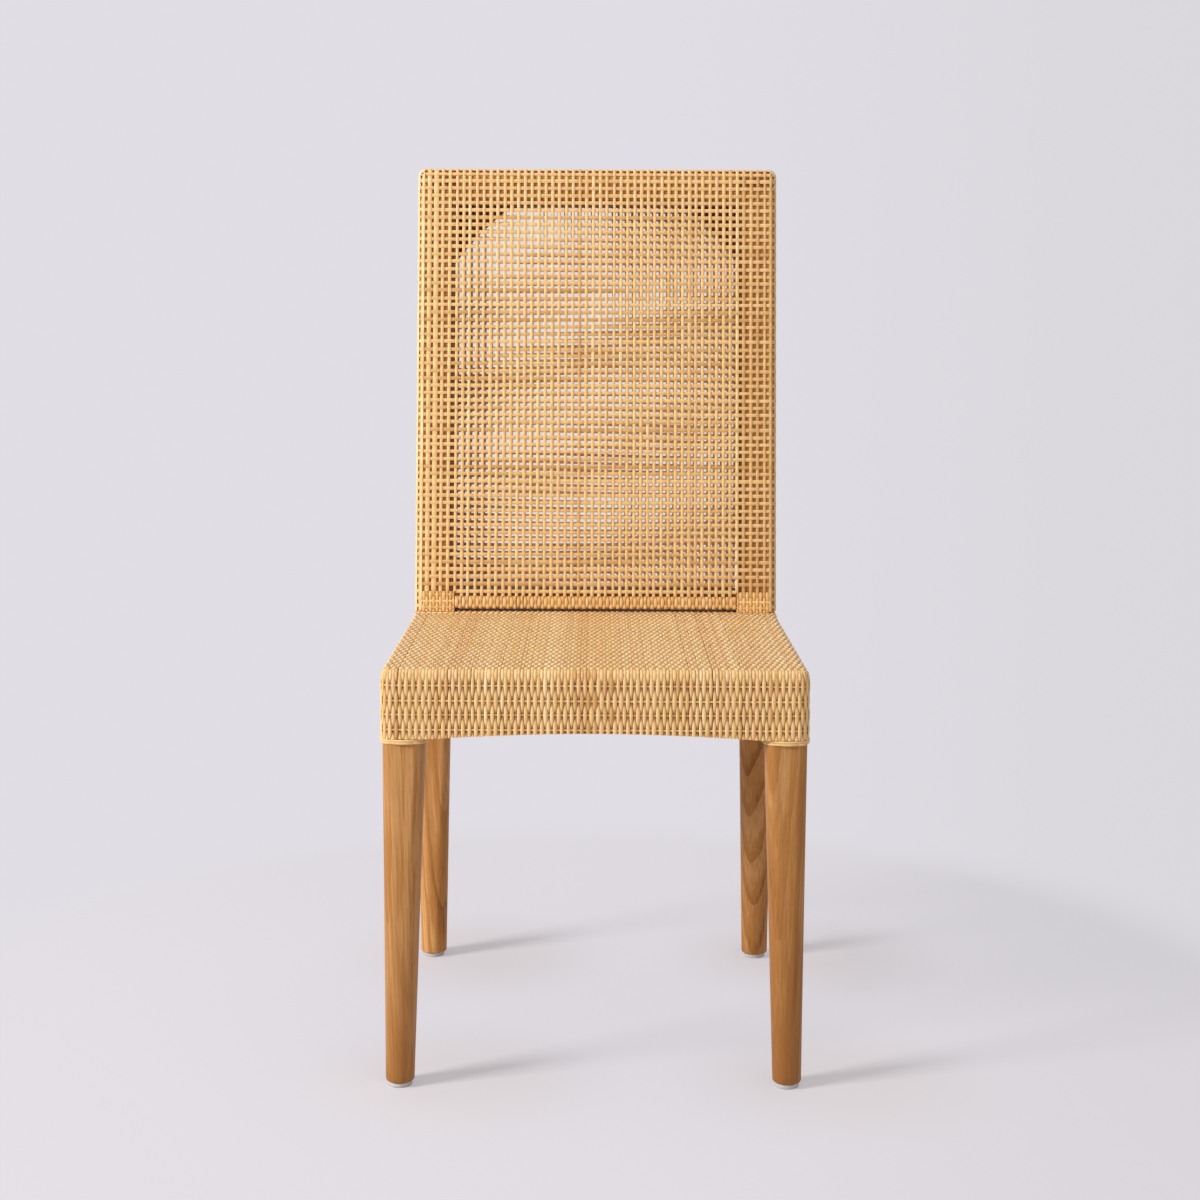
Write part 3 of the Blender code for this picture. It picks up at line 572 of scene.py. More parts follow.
@dataclass(frozen=True)
class WoodFinish:
    """Oiled or bare hardwood, with its grain along one axis of the chair."""

    light: Triple = (0.54, 0.275, 0.098)
    middle: Triple = (0.39, 0.165, 0.040)
    dark: Triple = (0.21, 0.075, 0.011)
    # The next three colours are painted light and shade on wood covered by cane: the palest far out from the
    # back's opening, the middle one nearer, and the darkest at its rim and on covered wood that has no
    # opening.
    pale: Triple = (0.66, 0.30, 0.075)
    shaded: Triple = (0.40, 0.155, 0.032)
    hidden: Triple = (0.18, 0.055, 0.008)
    hidden_from: float = 10.0
    hidden_fade: float = 0.012
    opening: Triple | None = None
    dark_rim: float = 0.006
    pale_from: float = 0.034
    pale_to_share: float = 1.2
    ring_scale: float = 26.0
    ring_strength: float = 0.42
    specular: float = 0.24
    bump: float = 0.2
    # Painted shade: the share of the dark colour mixed in higher up and at the foot, blended over the foot's
    # reach.
    deepened: float = 0.0
    foot_deepened: float = 0.0
    foot_reach: float = 0.30

    def make(self, name: str, grain: bpy.types.NodeTree, offset: tuple, turn: tuple) -> Material:
        """Make the material for one plank.

        Args:
            name: Its name.
            grain: The shared effect on wood.
            offset: Where the heart of the tree lies from the plank.
            turn: How the grain is turned from Z.

        Returns:
            The material.
        """
        made, graph, shader = new_surface(name)
        place = graph.add("TexCoord").outputs["Object"]
        sockets = {"Vector": graph.stretched(place, (1.0, 1.0, 1.0), offset, turn)}
        tints = ("Light", "Middle", "Dark")
        sockets.update({title: coloured(getattr(self, title.lower())) for title in tints})
        sockets.update({"Ring Scale": self.ring_scale, "Ring Strength": self.ring_strength})
        group = graph.add("Group", sockets, node_tree=grain)
        parts = graph.add("SeparateXYZ", {0: place}).outputs
        # Above this height the wood is covered by cane and takes the painted light and shade in place of its
        # grain.
        under = graph.spread(parts["Z"], self.hidden_from, self.hidden_from + self.hidden_fade)
        covered = self.behind_net(graph, parts) if self.opening else coloured(self.hidden)
        # Painted shade, blended from the foot up over the foot's reach.
        deep = graph.spread(parts["Z"], 0.0, self.foot_reach, self.foot_deepened, self.deepened)
        foot_shaded = graph.mix(deep, group.outputs["Colour"], coloured(self.dark))
        colour = graph.mix(under, foot_shaded, covered)
        join_surface(graph, shader, group, colour, self.bump, self.specular)
        return made

    def behind_net(self, graph: Graph, parts) -> Socket:
        """Give the wood's colour behind the net: painted shade, dark at the rim of the opening, and painted
        light, paler farther out.

        Args:
            graph: The material's graph.
            parts: The place's X, Y and Z.

        Returns:
            The colour.
        """
        half, low, high = self.opening
        beside = graph.sum("SUBTRACT", graph.sum("ABSOLUTE", parts["X"]), half)
        above, below = graph.sum("SUBTRACT", parts["Z"], high), graph.sum("SUBTRACT", low, parts["Z"])
        out = graph.sum("MAXIMUM", beside, graph.sum("MAXIMUM", above, below))
        near = graph.spread(out, self.dark_rim, self.dark_rim * 2)
        shaded = graph.mix(near, coloured(self.hidden), coloured(self.shaded))
        far = graph.spread(out, self.pale_from, self.pale_from * self.pale_to_share)
        return graph.mix(far, shaded, coloured(self.pale))


BARE_WOOD = {
    "light": (0.36, 0.185, 0.085),
    "middle": (0.26, 0.125, 0.05),
    "dark": (0.13, 0.055, 0.02),
    "specular": 0.2,
}


@dataclass(frozen=True)
class MouldedNylon:
    """Off-white nylon with fine marks from the mould, darker in patches towards its bottom."""

    clean: Triple = (0.50, 0.485, 0.47)
    low_tint: Triple = (0.40, 0.37, 0.33)

    def make(self, name: str) -> Material:
        """Make the material with this name."""
        made, graph, shader = new_surface(name)
        place = graph.add("TexCoord").outputs["Object"]
        scuff = graph.noise(place, 160.0, 4.0, 0.7)
        low = graph.spread(graph.add("SeparateXYZ", {0: place}).outputs["Z"], 0.0, 0.003, 1.0, 0.0)
        # Darker in patches towards the bottom.
        low_patches = graph.sum("MULTIPLY", low, graph.spread(scuff, 0.35, 0.65))
        links = made.node_tree.links
        links.new(graph.mix(low_patches, coloured(self.clean), coloured(self.low_tint)), shader.inputs["Base Color"])
        links.new(graph.spread(scuff, 0.3, 0.7, 0.42, 0.62), shader.inputs["Roughness"])
        return made


@dataclass(frozen=True)
class ZincPlate:
    """Zinc-plated steel, dulled in patches."""

    bright: Triple = (0.62, 0.62, 0.60)
    dull: Triple = (0.36, 0.36, 0.37)

    def make(self, name: str) -> Material:
        """Make the material with this name."""
        made, graph, shader = new_surface(name)
        cloud = graph.noise(graph.add("TexCoord").outputs["Object"], 420.0, 3.0, 0.6)
        links = made.node_tree.links
        colour = graph.mix(graph.spread(cloud, 0.35, 0.65), coloured(self.bright), coloured(self.dull))
        links.new(colour, shader.inputs["Base Color"])
        links.new(graph.spread(cloud, 0.3, 0.7, 0.28, 0.48), shader.inputs["Roughness"])
        shader.inputs["Metallic"].default_value = 1.0
        return made


# Strands of cane

# How the rear net wanders: each wave's size, waves per metre across and up, and phase
REAR_ACROSS_WAVES = ((-0.002, 0.0, 0.0, QUARTER_TURN), (0.002, 0.0, 1.0, QUARTER_TURN))
REAR_UP_WAVES = ((0.002, 0.0, 0.0, QUARTER_TURN), (0.004, 1.0, -3.0, QUARTER_TURN))
STRAND_ATTRIBUTE = "strand_look"
STRAND_MAP = "strand_uv"
STRAND_SECTION_SHARES = ((1.0, -0.5), (0.74, 0.62), (0.0, 1.0), (-0.74, 0.62), (-1.0, -0.5))
STRAND_SIDES = len(STRAND_SECTION_SHARES)
BLANK_SPACING = 4.0
LONGEST_SET = 640
# Painted light on the first strands of the left edge, which faces the lamp, and painted shade on the right
# edge's.
EDGE_PAINTED_LIGHT_AND_SHADE = {Side.LEFT: 0.16, Side.RIGHT: -0.12}
STRAND_SHARP_ANGLE = radians(62.0)


class Rings(IntEnum):
    """Rings from one crossing to the next, by how much a strand bends there."""

    STRAIGHT = 1
    SLACK = 2
    WAVY = 3
    TIGHT = 4


class Faults(IntEnum):
    """Seeds of the draws of the strands' faults."""

    FRONT_NET = 11
    REAR_NET = 15
    BOTTOM_BAND = 21
    BOTTOM_RIBS = 22
    POST_FEET = 23
    POST_RIBS = 26
    SEAT = 31
    SEAT_RIBS = 32
    WIDE = 33
    BACK_EDGES = 50


class Fibres(IntEnum):
    """Seeds of the draws of the strands' fibres."""

    NET_UPRIGHT = 1
    NET_LEVEL = 2
    EDGE_UPRIGHT = 3
    EDGE_LEVEL = 4
    TOP_UPRIGHT = 5
    TOP_LEVEL = 6
    BOTTOM_BAND = 7
    POST_UPRIGHT = 8
    POST_LEVEL = 9
    RIBS = 10
    APRON = 11
    SEAT_MIDDLE = 12
    SEAT_BESIDE = 13
    NET_BESIDE = 31
    NET_SHORT = 32
    LEG_BANDS = 40


@dataclass
class StrandSet:
    """Strands laid side by side, each with its own small faults, numbered from a middle one."""

    first: float
    pitch: float
    width: float
    seed: int
    stray: float = 0.0002
    lightness: float = 0.5
    variety: float = 0.2
    uneven: float = 0.06
    bunched: float = 0.0
    bunch: int = 7
    strays: Array = field(init=False, repr=False)
    widths: Array = field(init=False, repr=False)
    tones: Array = field(init=False, repr=False)
    hues: Array = field(init=False, repr=False)

    def __post_init__(self) -> None:
        """Draw the faults of every strand."""
        draw = np.random.default_rng(self.seed)
        self.strays = draw.normal(0.0, self.stray, LONGEST_SET)
        self.widths = 1.0 + draw.normal(0.0, self.uneven, LONGEST_SET).clip(-0.18, 0.18)
        self.tones = (self.lightness + draw.normal(0.0, self.variety, LONGEST_SET)).clip(0.0, 1.0)
        self.hues = draw.random(LONGEST_SET)
        knots = draw.normal(0.0, self.bunched, LONGEST_SET // self.bunch + 2)
        gathered = np.interp(np.arange(LONGEST_SET) / self.bunch, np.arange(len(knots)), knots)
        self.tones = (self.tones + gathered).clip(0.0, 1.0)

    def place(self, index: Array) -> Array:
        """Find where strands, or places between them, lie across their direction."""
        numbers = np.arange(LONGEST_SET) - LONGEST_SET // 2
        return self.first + self.pitch * index + np.interp(index, numbers, self.strays)

    def number_at(self, place: float) -> float:
        """Give the number, not rounded, of the strand at a place."""
        return (place - self.first) / self.pitch

    def of(self, values: Array, index: Array) -> Array:
        """Pick the drawn values of whole-numbered strands."""
        return values[np.asarray(index, int) + LONGEST_SET // 2]

    def favour(self, first: int, last: int, lighter: float) -> None:
        """Make the strands from a first to a last number lighter."""
        chosen = slice(first + LONGEST_SET // 2, last + 1 + LONGEST_SET // 2)
        self.tones[chosen] = (self.tones[chosen] + lighter).clip(0.0, 1.0)

    def widen(self, first: int, last: int, share: float) -> None:
        """Make the strands from a first to a last number wider by a share."""
        self.widths[first + LONGEST_SET // 2 : last + 1 + LONGEST_SET // 2] *= share


@dataclass
class Strands:
    """Strands of one direction. Each array has a row for a strand and a column for a ring."""

    across: Array
    along: Array
    height: Array
    half_width: Array
    # How much painted shade darkens each ring, where the strand dives.
    depth: Array
    tone: Array
    hue: Array
    upright: bool
    per_gap: int
    thickness: float


class Surface(ABC):
    """A sheet of the chair that strands lie on."""

    @abstractmethod
    def points(self, u: Array, v: Array, h: Array) -> Array:
        """Find places in the chair.

        Args:
            u: Places across the sheet.
            v: Places up the sheet.
            h: Heights above the middle of the sheet's thickness.

        Returns:
            One point for each place.
        """


def crossing_rings(starts: Array, ends: Array, per_gap: int) -> tuple[Array, int]:
    """Place rings along strands so that every crossing has one.

    Args:
        starts: Where each strand starts, counted in crossings.
        ends: Where each ends; all pass the same whole numbers.
        per_gap: Rings to each stretch between crossings.

    Returns:
        The rings' places, a row for each strand, and the number of stretches.
    """
    first, last = ceil(starts.max() - TOUCH), floor(ends.min() + TOUCH)
    marks = np.column_stack([starts, *[np.full(len(starts), float(n)) for n in range(first, last + 1)], ends])
    gaps = marks.shape[1] - 1
    steps = np.linspace(0.0, gaps, gaps * per_gap + 1)
    low = np.minimum(steps.astype(int), gaps - 1)
    share = steps - low
    return marks[:, low] * (1 - share) + marks[:, low + 1] * share, gaps


def lay(strands: Strands, surface: Surface, seed: int) -> Piece:
    """Model one straight strand, copy it for the whole set, and lay the copies on the sheet.

    Args:
        strands: Where the strands go.
        surface: The sheet.
        seed: Starts the draw of the strands' fibres.

    Returns:
        One object that holds the strands.
    """
    count, rings = strands.across.shape
    made = blank_prism(STRAND_SIDES, (rings - 1) // strands.per_gap, strands.per_gap)
    copies = made.modifiers.new("side by side", "ARRAY")
    copies.count = count
    copies.use_relative_offset = False
    copies.use_constant_offset = True
    copies.constant_offset_displace = (BLANK_SPACING, 0.0, 0.0)
    only(made)
    bpy.ops.object.modifier_apply(modifier=copies.name)
    strand, ring, corner = corner_and_ring(made, STRAND_SIDES, rings, BLANK_SPACING)
    section = np.array(STRAND_SECTION_SHARES)[corner]
    across = strands.across[strand, ring] + section[:, 0] * strands.half_width[strand, ring]
    along = strands.along[strand, ring]
    height = strands.height[strand, ring] + section[:, 1] * strands.thickness / 2
    u, v = (across, along) if strands.upright else (along, across)
    move_points(made, surface.points(u, v, height))
    # Each point carries its strand's tone and hue and its ring's painted shade.
    look = np.column_stack([strands.tone[strand], strands.hue[strand], strands.depth[strand, ring]])
    attribute = made.data.attributes.new(STRAND_ATTRIBUTE, "FLOAT_VECTOR", "POINT")
    attribute.data.foreach_set("vector", look.astype(np.float32).ravel())
    shift = np.random.default_rng(seed).random((count, 2))
    side = section[:, 0] * strands.half_width[strand, ring]
    flat = np.column_stack([side + shift[strand, 0], along + shift[strand, 1]])
    corners = np.empty(len(made.data.loops), np.int32)
    made.data.loops.foreach_get("vertex_index", corners)
    uv_map = made.data.uv_layers[0] if made.data.uv_layers else made.data.uv_layers.new()
    uv_map.name = STRAND_MAP
    uv_map.uv.foreach_set("vector", flat[corners].astype(np.float32).ravel())
    return made


def joined(parts: list[Piece]) -> Piece:
    """Join the strands of several sets into one piece, with its faces outwards.

    Args:
        parts: The objects to join.

    Returns:
        The first object, which now holds them all.
    """
    only(parts[0])
    for part in parts[1:]:
        part.select_set(True)
    if len(parts) > 1:
        bpy.ops.object.join()
    outward(parts[0], STRAND_SHARP_ANGLE)
    return parts[0]


def weave_piece(name: str, finish: Material, surface: Surface, *sets: tuple) -> None:
    """Lay sets of strands on a sheet as one piece, and install it.

    Args:
        name: The piece's name, also its node's.
        finish: Its material.
        surface: The sheet.
        *sets: Strands, each with the seed of its fibres.
    """
    parts = [lay(strands, surface, seed) for strands, seed in sets]
    install(joined(parts), name, finish, "cane", name)


@dataclass
class Weave:
    """A plain weave: upright strands over and under level ones."""

    columns: StrandSet
    rows: StrandSet
    thickness: float
    upright_lift: float
    level_lift: float
    upright_offset: float = 0.0
    level_offset: float = 0.0
    spread: float = 0.0
    spread_power: float = 2.0
    narrow: float = 0.0
    # How strongly strands are darkened where they dive under a crossing strand: painted shade.
    stain: float = 0.35
    dive_power: float = 3.0
    sway: float = 0.0
    sway_length: float = 6.3
    flat_at: float = inf
    flat_reach: float = 0.75
    drift: Sheet | None = None

    def sheet(self, p: Array, q: Array) -> tuple[Array, Array]:
        """Find where a crossing lies on the flat sheet.

        Args:
            p: Numbers of upright strands.
            q: Numbers of level strands.

        Returns:
            The place across and the place up.
        """
        u, v = self.columns.place(p), self.rows.place(q)
        if self.drift is None:
            return u, v
        u_more, v_more = self.drift(u, v)
        return u + u_more, v + v_more

    def strands(self, upright: bool, numbers, starts, ends, per_gap: int, sheet: Sheet | None) -> Strands:
        """Lay out strands of one direction.

        Args:
            upright: Whether they are the upright ones.
            numbers: The strands' whole numbers.
            starts: Where they start, counted in crossings and not whole.
            ends: Where they end.
            per_gap: Rings from crossing to crossing.
            sheet: The sheet's layout, or the weave's own.

        Returns:
            The strands.
        """
        own = self.columns if upright else self.rows
        numbers = np.asarray(numbers, float)
        starts, ends = np.broadcast_to(starts, numbers.shape), np.broadcast_to(ends, numbers.shape)
        crossings = crossing_rings(starts, ends, per_gap)[0]
        number = np.repeat(numbers[:, None], crossings.shape[1], axis=1)
        p, q = (number, crossings) if upright else (crossings, number)
        u, v = (sheet or self.sheet)(p, q)
        over = np.cos(pi * (p + q))
        width = own.width / 2 * own.of(own.widths, numbers)[:, None]
        tone, hue = own.of(own.tones, numbers), own.of(own.hues, numbers)
        if upright:
            bent = np.clip(np.abs(q - self.flat_at) / self.flat_reach, 0.0, 1.0)
            swell = self.spread * np.sign(over) * np.abs(over) ** self.spread_power * bent
            swayed = u + self.sway * np.sin(FULL_TURN * (q / self.sway_length + hue[:, None]))
            height = self.upright_offset + self.upright_lift * over * bent
            # Painted shade where the upright strand dives under a level one.
            depth = self.stain * (0.5 - over / 2) ** self.dive_power * bent
            width = width * (1.0 - self.narrow + swell)
            return Strands(swayed, v, height, width, depth, tone, hue, True, per_gap, self.thickness)
        # Level strands take painted shade where they pass under an upright one.
        height, depth = self.level_offset - self.level_lift * over, self.stain * (0.5 + over / 2)
        width = width * np.ones_like(over)
        return Strands(v, u, height, width, depth, tone, hue, False, per_gap, self.thickness)

    def upright(
        self, numbers, starts, ends, per_gap: int = Rings.WAVY, sheet: Sheet | None = None
    ) -> Strands:
        """Lay out upright strands, whose ends are counted in rows."""
        return self.strands(True, numbers, starts, ends, per_gap, sheet)

    def level(self, numbers, starts, ends, per_gap: int = Rings.WAVY, sheet: Sheet | None = None) -> Strands:
        """Lay out level strands, whose ends are counted in columns."""
        return self.strands(False, numbers, starts, ends, per_gap, sheet)


# Sheets of the back


@dataclass
class BackFace(Surface):
    """One leaning face of the back: u is X and v is height."""

    sizes: ChairSizes
    end: End
    proud: float = 0.0002

    def points(self, u: Array, v: Array, h: Array) -> Array:
        """Find places on the face."""
        deep = self.sizes.skin / 2 - h - self.proud
        depth = deep if self.end is End.FRONT else self.sizes.back_thickness - deep
        return np.column_stack([u, self.sizes.back_y + depth + self.sizes.lean(v), v])


@dataclass
class BackEdge(Surface):
    """A long side of the back with its round top corner: u goes round from the front, v goes up."""

    sizes: ChairSizes
    side: Side
    proud: float = 0.0002

    def round_edge(self, u: Array, deep: Array) -> tuple[Array, Array]:
        """Find the inset from the side and the depth from the front, a way u round the edge."""
        radius, thick = self.sizes.back_edge, self.sizes.back_thickness
        arc, flat = radius * QUARTER_TURN, thick - 2 * radius
        front = np.clip(u, 0.0, arc) / radius
        rear = np.clip(u - arc - flat, 0.0, arc) / radius
        level = np.clip(u - arc, 0.0, flat)
        inner = radius - deep
        inset = radius - inner * np.sin(front)
        depth = radius - inner * np.cos(front) + level
        inset = np.where(rear > 0, radius - inner * np.cos(rear), inset)
        depth = np.where(rear > 0, thick - radius + inner * np.sin(rear), depth)
        return inset, depth

    def points(self, u: Array, v: Array, h: Array) -> Array:
        """Find places round the edge."""
        sizes = self.sizes
        inset, depth = self.round_edge(u, sizes.skin / 2 - h - self.proud)
        corner_z = sizes.top_seam_z
        turn = np.clip((v - corner_z) / sizes.back_edge, 0.0, QUARTER_TURN)
        reach = sizes.back_edge - inset
        x = sizes.seam_x + reach * np.cos(turn)
        z = np.minimum(v, corner_z) + reach * np.sin(turn)
        return np.column_stack([self.side.value * x, sizes.back_y + depth + sizes.lean(z), z])


@dataclass
class BackTop(BackEdge):
    """The top edge of the back: u is X and v goes over it from the front."""

    def points(self, u: Array, v: Array, h: Array) -> Array:
        """Find places over the edge."""
        inset, depth = self.round_edge(v, self.sizes.skin / 2 - h - self.proud)
        z = self.sizes.top_z - inset
        return np.column_stack([u, self.sizes.back_y + depth + self.sizes.lean(z), z])


@dataclass
class BottomWrap(Surface):
    """The band round the bottom rail of the back: u is X and v goes from the front under to the rear."""

    sizes: ChairSizes
    hang: float = 0.0004

    @property
    def wall(self) -> float:
        """The height of its flat front."""
        sizes = self.sizes
        return sizes.band_top_z - sizes.seat_z - sizes.back_slot + self.hang - sizes.bottom_edge

    @property
    def path(self) -> float:
        """Its whole length from front to rear."""
        sizes = self.sizes
        arcs = 2 * sizes.bottom_edge * QUARTER_TURN
        return 2 * self.wall + arcs + sizes.back_thickness - 2 * sizes.bottom_edge

    def points(self, u: Array, v: Array, h: Array) -> Array:
        """Find places round the rail."""
        sizes, radius = self.sizes, self.sizes.bottom_edge
        deep = sizes.skin / 2 - h
        low = sizes.seat_z + sizes.back_slot - self.hang
        wall = self.wall
        arc, flat = radius * QUARTER_TURN, sizes.back_thickness - 2 * radius
        first = np.clip((v - wall) / radius, 0.0, QUARTER_TURN)
        second = np.clip((v - wall - arc - flat) / radius, 0.0, QUARTER_TURN)
        past = np.maximum(v - wall - 2 * arc - flat, 0.0)
        under = np.clip(v - wall - arc, 0.0, flat)
        inner = radius - deep
        depth = np.where(second > 0, sizes.back_thickness - radius + inner * np.sin(second), 0.0)
        depth = np.where(second > 0, depth, radius - inner * np.cos(first) + under)
        drop = np.where(second > 0, inner * np.cos(second), inner * np.sin(first))
        z = low + radius - drop + np.maximum(wall - v, 0.0) + past
        return np.column_stack([u, sizes.back_y + depth + sizes.lean(z), z])


@dataclass
class PostWrap(Surface):
    """Cane round a post's foot: u goes from the front lip round the inner face to the rear, v is height."""

    sizes: ChairSizes
    side: Side

    def points(self, u: Array, v: Array, h: Array) -> Array:
        """Find places round the post."""
        sizes = self.sizes
        deep = sizes.skin / 2 - h
        lip = sizes.seam_x
        inner = sizes.post_inner_x - sizes.skin_inset
        width, thick = lip - inner, sizes.back_thickness
        across = np.clip(u, 0.0, width)
        down = np.clip(u - width, 0.0, thick)
        past = np.clip(u - width - thick, 0.0, width)
        on_inner = (u > width) & (u < width + thick)
        x = lip - across + past
        x = np.where(on_inner, inner + deep, np.maximum(x, inner + deep))
        depth = np.clip(down, deep, thick - deep)
        return np.column_stack([self.side.value * x, sizes.back_y + depth + sizes.lean(v), v])


# Sheets of the seat


@dataclass
class SeatFace(Surface):
    """The top of the seat: v goes on from the front apron's path, and u goes on over the rolled sides."""

    sizes: ChairSizes

    @property
    def start(self) -> float:
        """The way v at which the front roll ends and the flat top starts."""
        sizes = self.sizes
        return sizes.seat_z - sizes.apron_z - sizes.seat_roll + sizes.seat_roll * QUARTER_TURN

    @property
    def flat(self) -> float:
        """Half the width of the flat top."""
        return self.sizes.half_width - self.sizes.seat_roll

    @property
    def reach(self) -> float:
        """Half the width of the cane, measured over the rolled side."""
        return self.flat + self.sizes.seat_roll * QUARTER_TURN

    def corner_shift(self, u: Array) -> Array:
        """Give how much farther back the flat top starts beside the round front corners."""
        sizes = self.sizes
        round_top = sizes.seat_corner - sizes.seat_roll
        past = np.clip((np.abs(u) - self.flat + round_top) / round_top, 0.0, 1.0)
        return round_top * (1.0 - np.sqrt(1.0 - past**2))

    def points(self, u: Array, v: Array, h: Array) -> Array:
        """Find places on the seat."""
        sizes = self.sizes
        y = sizes.front_y + sizes.seat_roll + v - self.start
        fade = np.interp(y - sizes.back_y, [-sizes.roll_fade, 0.0], [1.0, sizes.small_roll / sizes.seat_roll])
        roll = sizes.seat_roll * fade
        angle = np.clip(np.abs(u) - self.flat, 0.0, None) / sizes.seat_roll
        deep = sizes.skin / 2 - h
        flat = sizes.half_width - roll
        x = np.minimum(np.abs(u), self.flat) / self.flat * flat + (roll - deep) * np.sin(angle)
        z = sizes.seat_z - roll + (roll - deep) * np.cos(angle)
        return np.column_stack([np.sign(u) * x, y, z])


@dataclass
class ApronBelt(Surface):
    """The aprons round the seat: u goes from the front's middle round one side to the rear, v goes up."""

    sizes: ChairSizes

    @property
    def legs_of_path(self) -> tuple[float, ...]:
        """Lengths of the front half, front corner, side, rear corner and rear half."""
        sizes = self.sizes
        side = sizes.rear_y - sizes.front_y - sizes.seat_corner - sizes.back_edge
        front, rear = sizes.half_width - sizes.seat_corner, sizes.half_width - sizes.back_edge
        return front, sizes.seat_corner * QUARTER_TURN, side, sizes.back_edge * QUARTER_TURN, rear

    def plan(self, u: Array) -> tuple[Array, ...]:
        """Find the outline's place and inward direction, and its roll radius, at a way u round it."""
        sizes = self.sizes
        front, corner, side, rear_corner, _ = self.legs_of_path
        way, sign = np.abs(u), np.where(u < 0, -1.0, 1.0)
        turn = np.clip((way - front) / sizes.seat_corner, 0.0, QUARTER_TURN)
        rear_turn = np.clip((way - front - corner - side) / sizes.back_edge, 0.0, QUARTER_TURN)
        angle = turn + rear_turn
        radius = np.where(rear_turn > 0, sizes.back_edge, sizes.seat_corner)
        centre_x = np.minimum(way, front)
        centre_x = np.where(rear_turn > 0, sizes.seam_x, centre_x)
        past_rear = np.maximum(way - front - corner - side - rear_corner, 0.0)
        along = np.clip(way - front - corner, 0.0, side)
        centre_y = sizes.front_y + sizes.seat_corner + along
        x = centre_x + radius * np.sin(angle) - past_rear
        y = centre_y - radius * np.cos(angle)
        roll = np.interp(y - sizes.back_y, [-sizes.roll_fade, 0.0], [sizes.seat_roll, sizes.small_roll])
        return sign * x, y, -sign * np.sin(angle), np.cos(angle), roll

    def wall_and_end(self, u: Array) -> tuple[Array, Array]:
        """Give the height of the flat wall and the path's end at each way round."""
        roll = self.plan(u)[4]
        wall = self.sizes.seat_z - self.sizes.apron_z - roll
        return wall, wall + roll * QUARTER_TURN

    def ends(self, u: Array) -> Array:
        """Give where strands end: over the roll, but under it along the sides up to the back."""
        y = self.plan(u)[1]
        beside = (y > self.sizes.front_y + self.sizes.seat_corner) & (y < self.sizes.back_y)
        wall, end = self.wall_and_end(u)
        return np.where(beside, wall, end)

    def bottom(self, u: Array) -> Array:
        """Give how far the arch lifts the lower edge of the front apron."""
        reach = self.sizes.half_width - self.sizes.skin_inset - FrontLeg.top_size
        share = np.clip(np.abs(u) / reach, 0.0, 1.0)
        return self.sizes.arch * np.cos(share * QUARTER_TURN)

    def points(self, u: Array, v: Array, h: Array) -> Array:
        """Find places on the aprons."""
        x, y, in_x, in_y, roll = self.plan(u)
        wall = self.wall_and_end(u)[0]
        deep = self.sizes.skin / 2 - h
        angle = np.clip((v - wall) / roll, 0.0, QUARTER_TURN)
        inset = roll - (roll - deep) * np.cos(angle)
        z = self.sizes.apron_z + np.minimum(v, wall) + (roll - deep) * np.sin(angle)
        return np.column_stack([x + in_x * inset, y + in_y * inset, z])


# Legs

LEG_SHARP_ANGLE = radians(40.0)
GLIDE_SHARP_ANGLE = radians(35.0)
DOWNWARD = -0.99

def rounded_section(sides: int, corner: Array, half_x, half_y, radius) -> tuple[Array, Array]:
    """Find corners of a rectangle with round corners.

    Args:
        sides: Points round the section, a quarter of them on each corner.
        corner: Numbers of the points.
        half_x: Half the width.
        half_y: Half the depth.
        radius: The corners' radius.

    Returns:
        X and Y of each point, from the section's middle.
    """
    quarter = sides // 4
    which, step = corner // quarter, corner % quarter
    angle = (which + step / (quarter - 1)) * QUARTER_TURN
    sign_x = np.where((which == 0) | (which == 3), 1.0, -1.0)
    sign_y = np.where(which < 2, 1.0, -1.0)
    x = sign_x * (half_x - radius) + radius * np.cos(angle)
    return x, sign_y * (half_y - radius) + radius * np.sin(angle)


